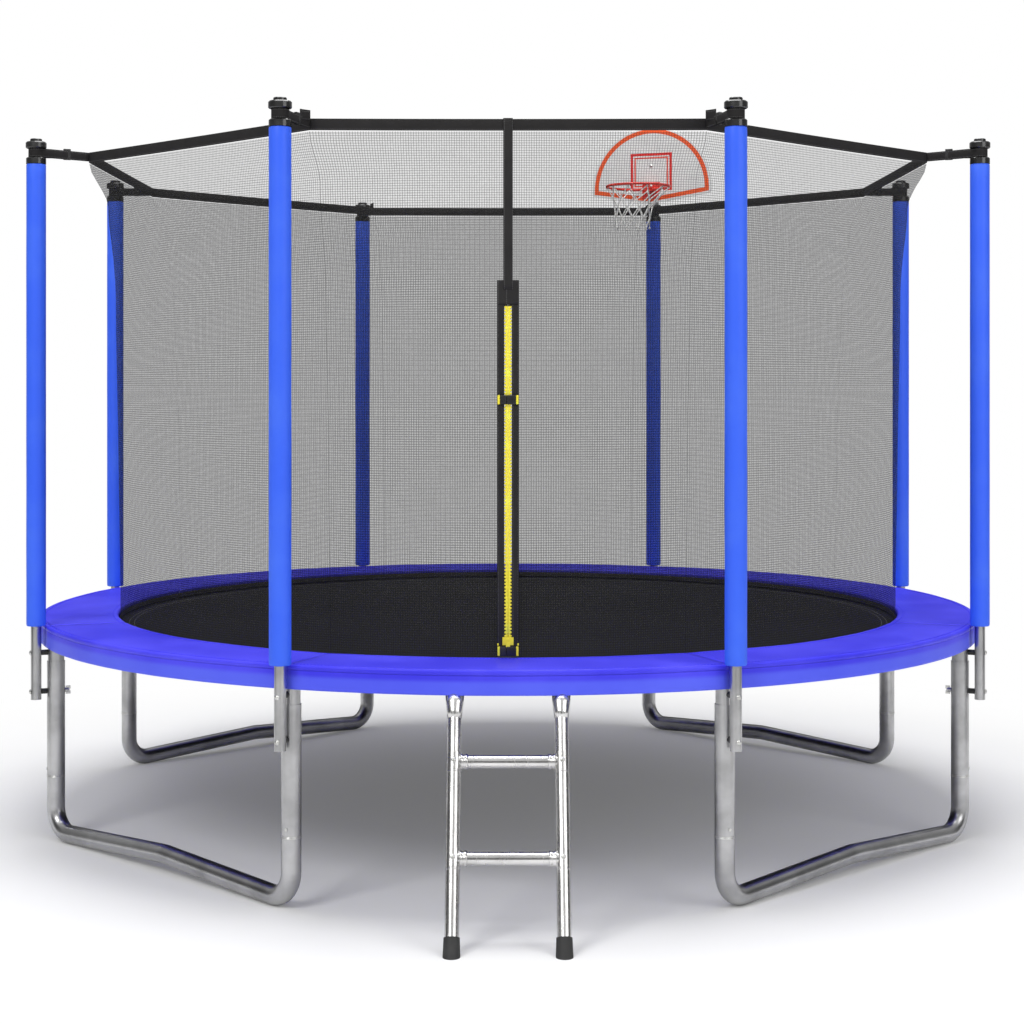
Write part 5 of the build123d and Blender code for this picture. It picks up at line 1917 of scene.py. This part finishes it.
# ---------------------------------------------------------------- studio
@dataclass
class Studio:
    """A pale floor, soft light and a level camera facing the door."""

    distance: float = 7.827
    eye: float = 1.658
    lens: float = 68.2
    shift: tuple[float, float] = (0.0039, -0.1208)
    floor: float = 300.0
    fade: tuple[float, float] = (2.1, 3.6)
    sky: tuple[float, float] = (0.50, 0.22)
    sky_band: tuple[float, float] = (0.35, 0.95)
    flag_height: float = 2.6
    lights: tuple[tuple[str, Point, float, float], ...] = (
        ("key", (-4.0, -7.0, 6.5), 3.0, 230.0),
        ("fill", (5.0, -6.0, 4.0), 4.0, 120.0),
        ("top", (0.0, 0.0, 7.5), 5.0, 420.0),
    )
    flags: tuple[tuple[tuple[float, float], tuple[float, float]], ...] = (
        ((-0.75, -6.0), (0.75, -6.0)),
        ((-4.6, -3.4), (-4.9, -0.6)),
        ((4.6, -3.4), (4.9, -0.6)),
        ((-2.6, -5.6), (-3.3, -5.1)),
        ((2.6, -5.6), (3.3, -5.1)),
        ((-5.0, 4.2), (5.0, 4.2)),
    )

    def build_camera(self) -> None:
        """Puts the camera in front of the door."""
        data = bpy.data.cameras.new("camera")
        data.lens = self.lens
        data.sensor_width = 36.0
        data.shift_x, data.shift_y = self.shift
        data.clip_end = 200.0
        camera = bpy.data.objects.new("camera", data)
        camera.location = (0.0, -self.distance, self.eye)
        camera.rotation_euler = (pi / 2, 0.0, 0.0)
        bpy.context.scene.collection.objects.link(camera)
        bpy.context.scene.camera = camera

    def build_floor(self) -> None:
        """Makes the pale floor; to the camera it glows, faintly near the object and as plain white
        emission away from it, while other rays see it plain pale.
        """
        nodes = Nodes("studio_floor")
        cloud = nodes.noise(1.2, 3.0)
        x, y, _ = nodes.axes(nodes.place())
        far = nodes.math("SQRT", x * x + y * y).step(*self.fade)
        seen = nodes.add("ShaderNodeLightPath", output="Is Camera Ray")
        pale = nodes.mix(cloud, (0.84, 0.84, 0.84), (0.88, 0.88, 0.88))
        # Painted glow seen only by camera rays: 0.11 near the object, rising to white far away,
        # where the floor's own colour goes black
        glow = nodes.mix(far, (0.11, 0.11, 0.11), (1.0, 1.0, 1.0))
        material = nodes.surface({
            "Base Color": nodes.mix(far * seen, pale, (0.0, 0.0, 0.0)),
            "Roughness": 0.85 + 0.05 * cloud,
            "Specular IOR Level": 0.0,
            "Emission Color": nodes.mix(seen, (0.0, 0.0, 0.0), glow),
            "Emission Strength": 1.0,
        })
        half = self.floor
        corners = [(-half, -half, 0), (half, -half, 0), (half, half, 0), (-half, half, 0)]
        self.card("floor", corners, material)

    def card(
        self, name: str, corners: Sequence[Point], material: bpy.types.Material
    ) -> bpy.types.Object:
        """A flat four-sided piece of the studio."""
        mesh = bpy.data.meshes.new(name)
        mesh.from_pydata(corners, [], [(0, 1, 2, 3)])
        mesh.materials.append(material)
        piece = bpy.data.objects.new(name, mesh)
        bpy.context.scene.collection.objects.link(piece)
        return piece

    def build_flags(self) -> None:
        """Stands dark cards round the floor, which only polished metal reflects."""
        nodes = Nodes("studio_flag")
        material = nodes.surface({"Base Color": (0.02, 0.02, 0.02), "Roughness": 0.9})
        for number, (start, end) in enumerate(self.flags):
            top = self.flag_height
            corners = [(*start, 0.0), (*end, 0.0), (*end, top), (*start, top)]
            piece = self.card(f"flag_{number}", corners, material)
            piece.visible_camera = False
            piece.visible_shadow = False
            piece.visible_diffuse = False
            piece.visible_transmission = False

    def build_world(self) -> None:
        """Makes the surroundings: white to look at, and dimmer where they light the object."""
        world = bpy.data.worlds.new("studio")
        world.use_nodes = True
        tree = world.node_tree
        tree.nodes.clear()
        kinds = ("ShaderNodeTexCoord", "ShaderNodeSeparateXYZ", "ShaderNodeMath",
                 "ShaderNodeMapRange", "ShaderNodeLightPath", "ShaderNodeMath",
                 "ShaderNodeBackground", "ShaderNodeOutputWorld")
        place, axes, size, band, path, pick, sky, out = (tree.nodes.new(kind) for kind in kinds)
        tree.links.new(place.outputs["Generated"], axes.inputs[0])
        size.operation = "ABSOLUTE"
        tree.links.new(axes.outputs["X"], size.inputs[0])
        tree.links.new(size.outputs[0], band.inputs["Value"])
        names = ("From Min", "From Max", "To Min", "To Max")
        for name, value in zip(names, (*self.sky_band, *self.sky)):
            band.inputs[name].default_value = value
        pick.operation = "MAXIMUM"
        tree.links.new(band.outputs[0], pick.inputs[0])
        tree.links.new(path.outputs["Is Camera Ray"], pick.inputs[1])
        tree.links.new(pick.outputs[0], sky.inputs["Strength"])
        sky.inputs["Color"].default_value = (1.0, 1.0, 1.0, 1.0)
        tree.links.new(sky.outputs[0], out.inputs["Surface"])
        bpy.context.scene.world = world
        bpy.context.scene.view_settings.view_transform = "Standard"

    def build_light(self, name: str, place: Point, size: float, power: float) -> None:
        """Adds a square soft light that faces the middle of the object."""
        data = bpy.data.lights.new(name, "AREA")
        data.size = size
        data.energy = power
        light = bpy.data.objects.new(name, data)
        light.location = place
        aim = Vector((0.0, 0.0, 1.2)) - Vector(place)
        light.rotation_euler = aim.to_track_quat("-Z", "Y").to_euler()
        bpy.context.scene.collection.objects.link(light)

    def build(self) -> None:
        """Makes the whole studio."""
        self.build_camera()
        self.build_floor()
        self.build_flags()
        self.build_world()
        for name, place, size, power in self.lights:
            self.build_light(name, place, size, power)


def corners(box: tuple[Vector, Vector]) -> list[list[float]]:
    """A box's two corners as plain lists."""
    return [list(corner) for corner in box]


def main() -> None:
    """Builds the object in order."""
    logging.basicConfig(level=logging.INFO, format="%(name)s: %(message)s")
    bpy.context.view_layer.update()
    for part in (Studio(), Frame(), Poles(), JumpingMat(), EdgePad(), Enclosure(), Door(),
                 Ladder(), Hoop()):
        log.info("building %s", type(part).__name__)
        part.build()


if __name__ == "__main__":
    main()
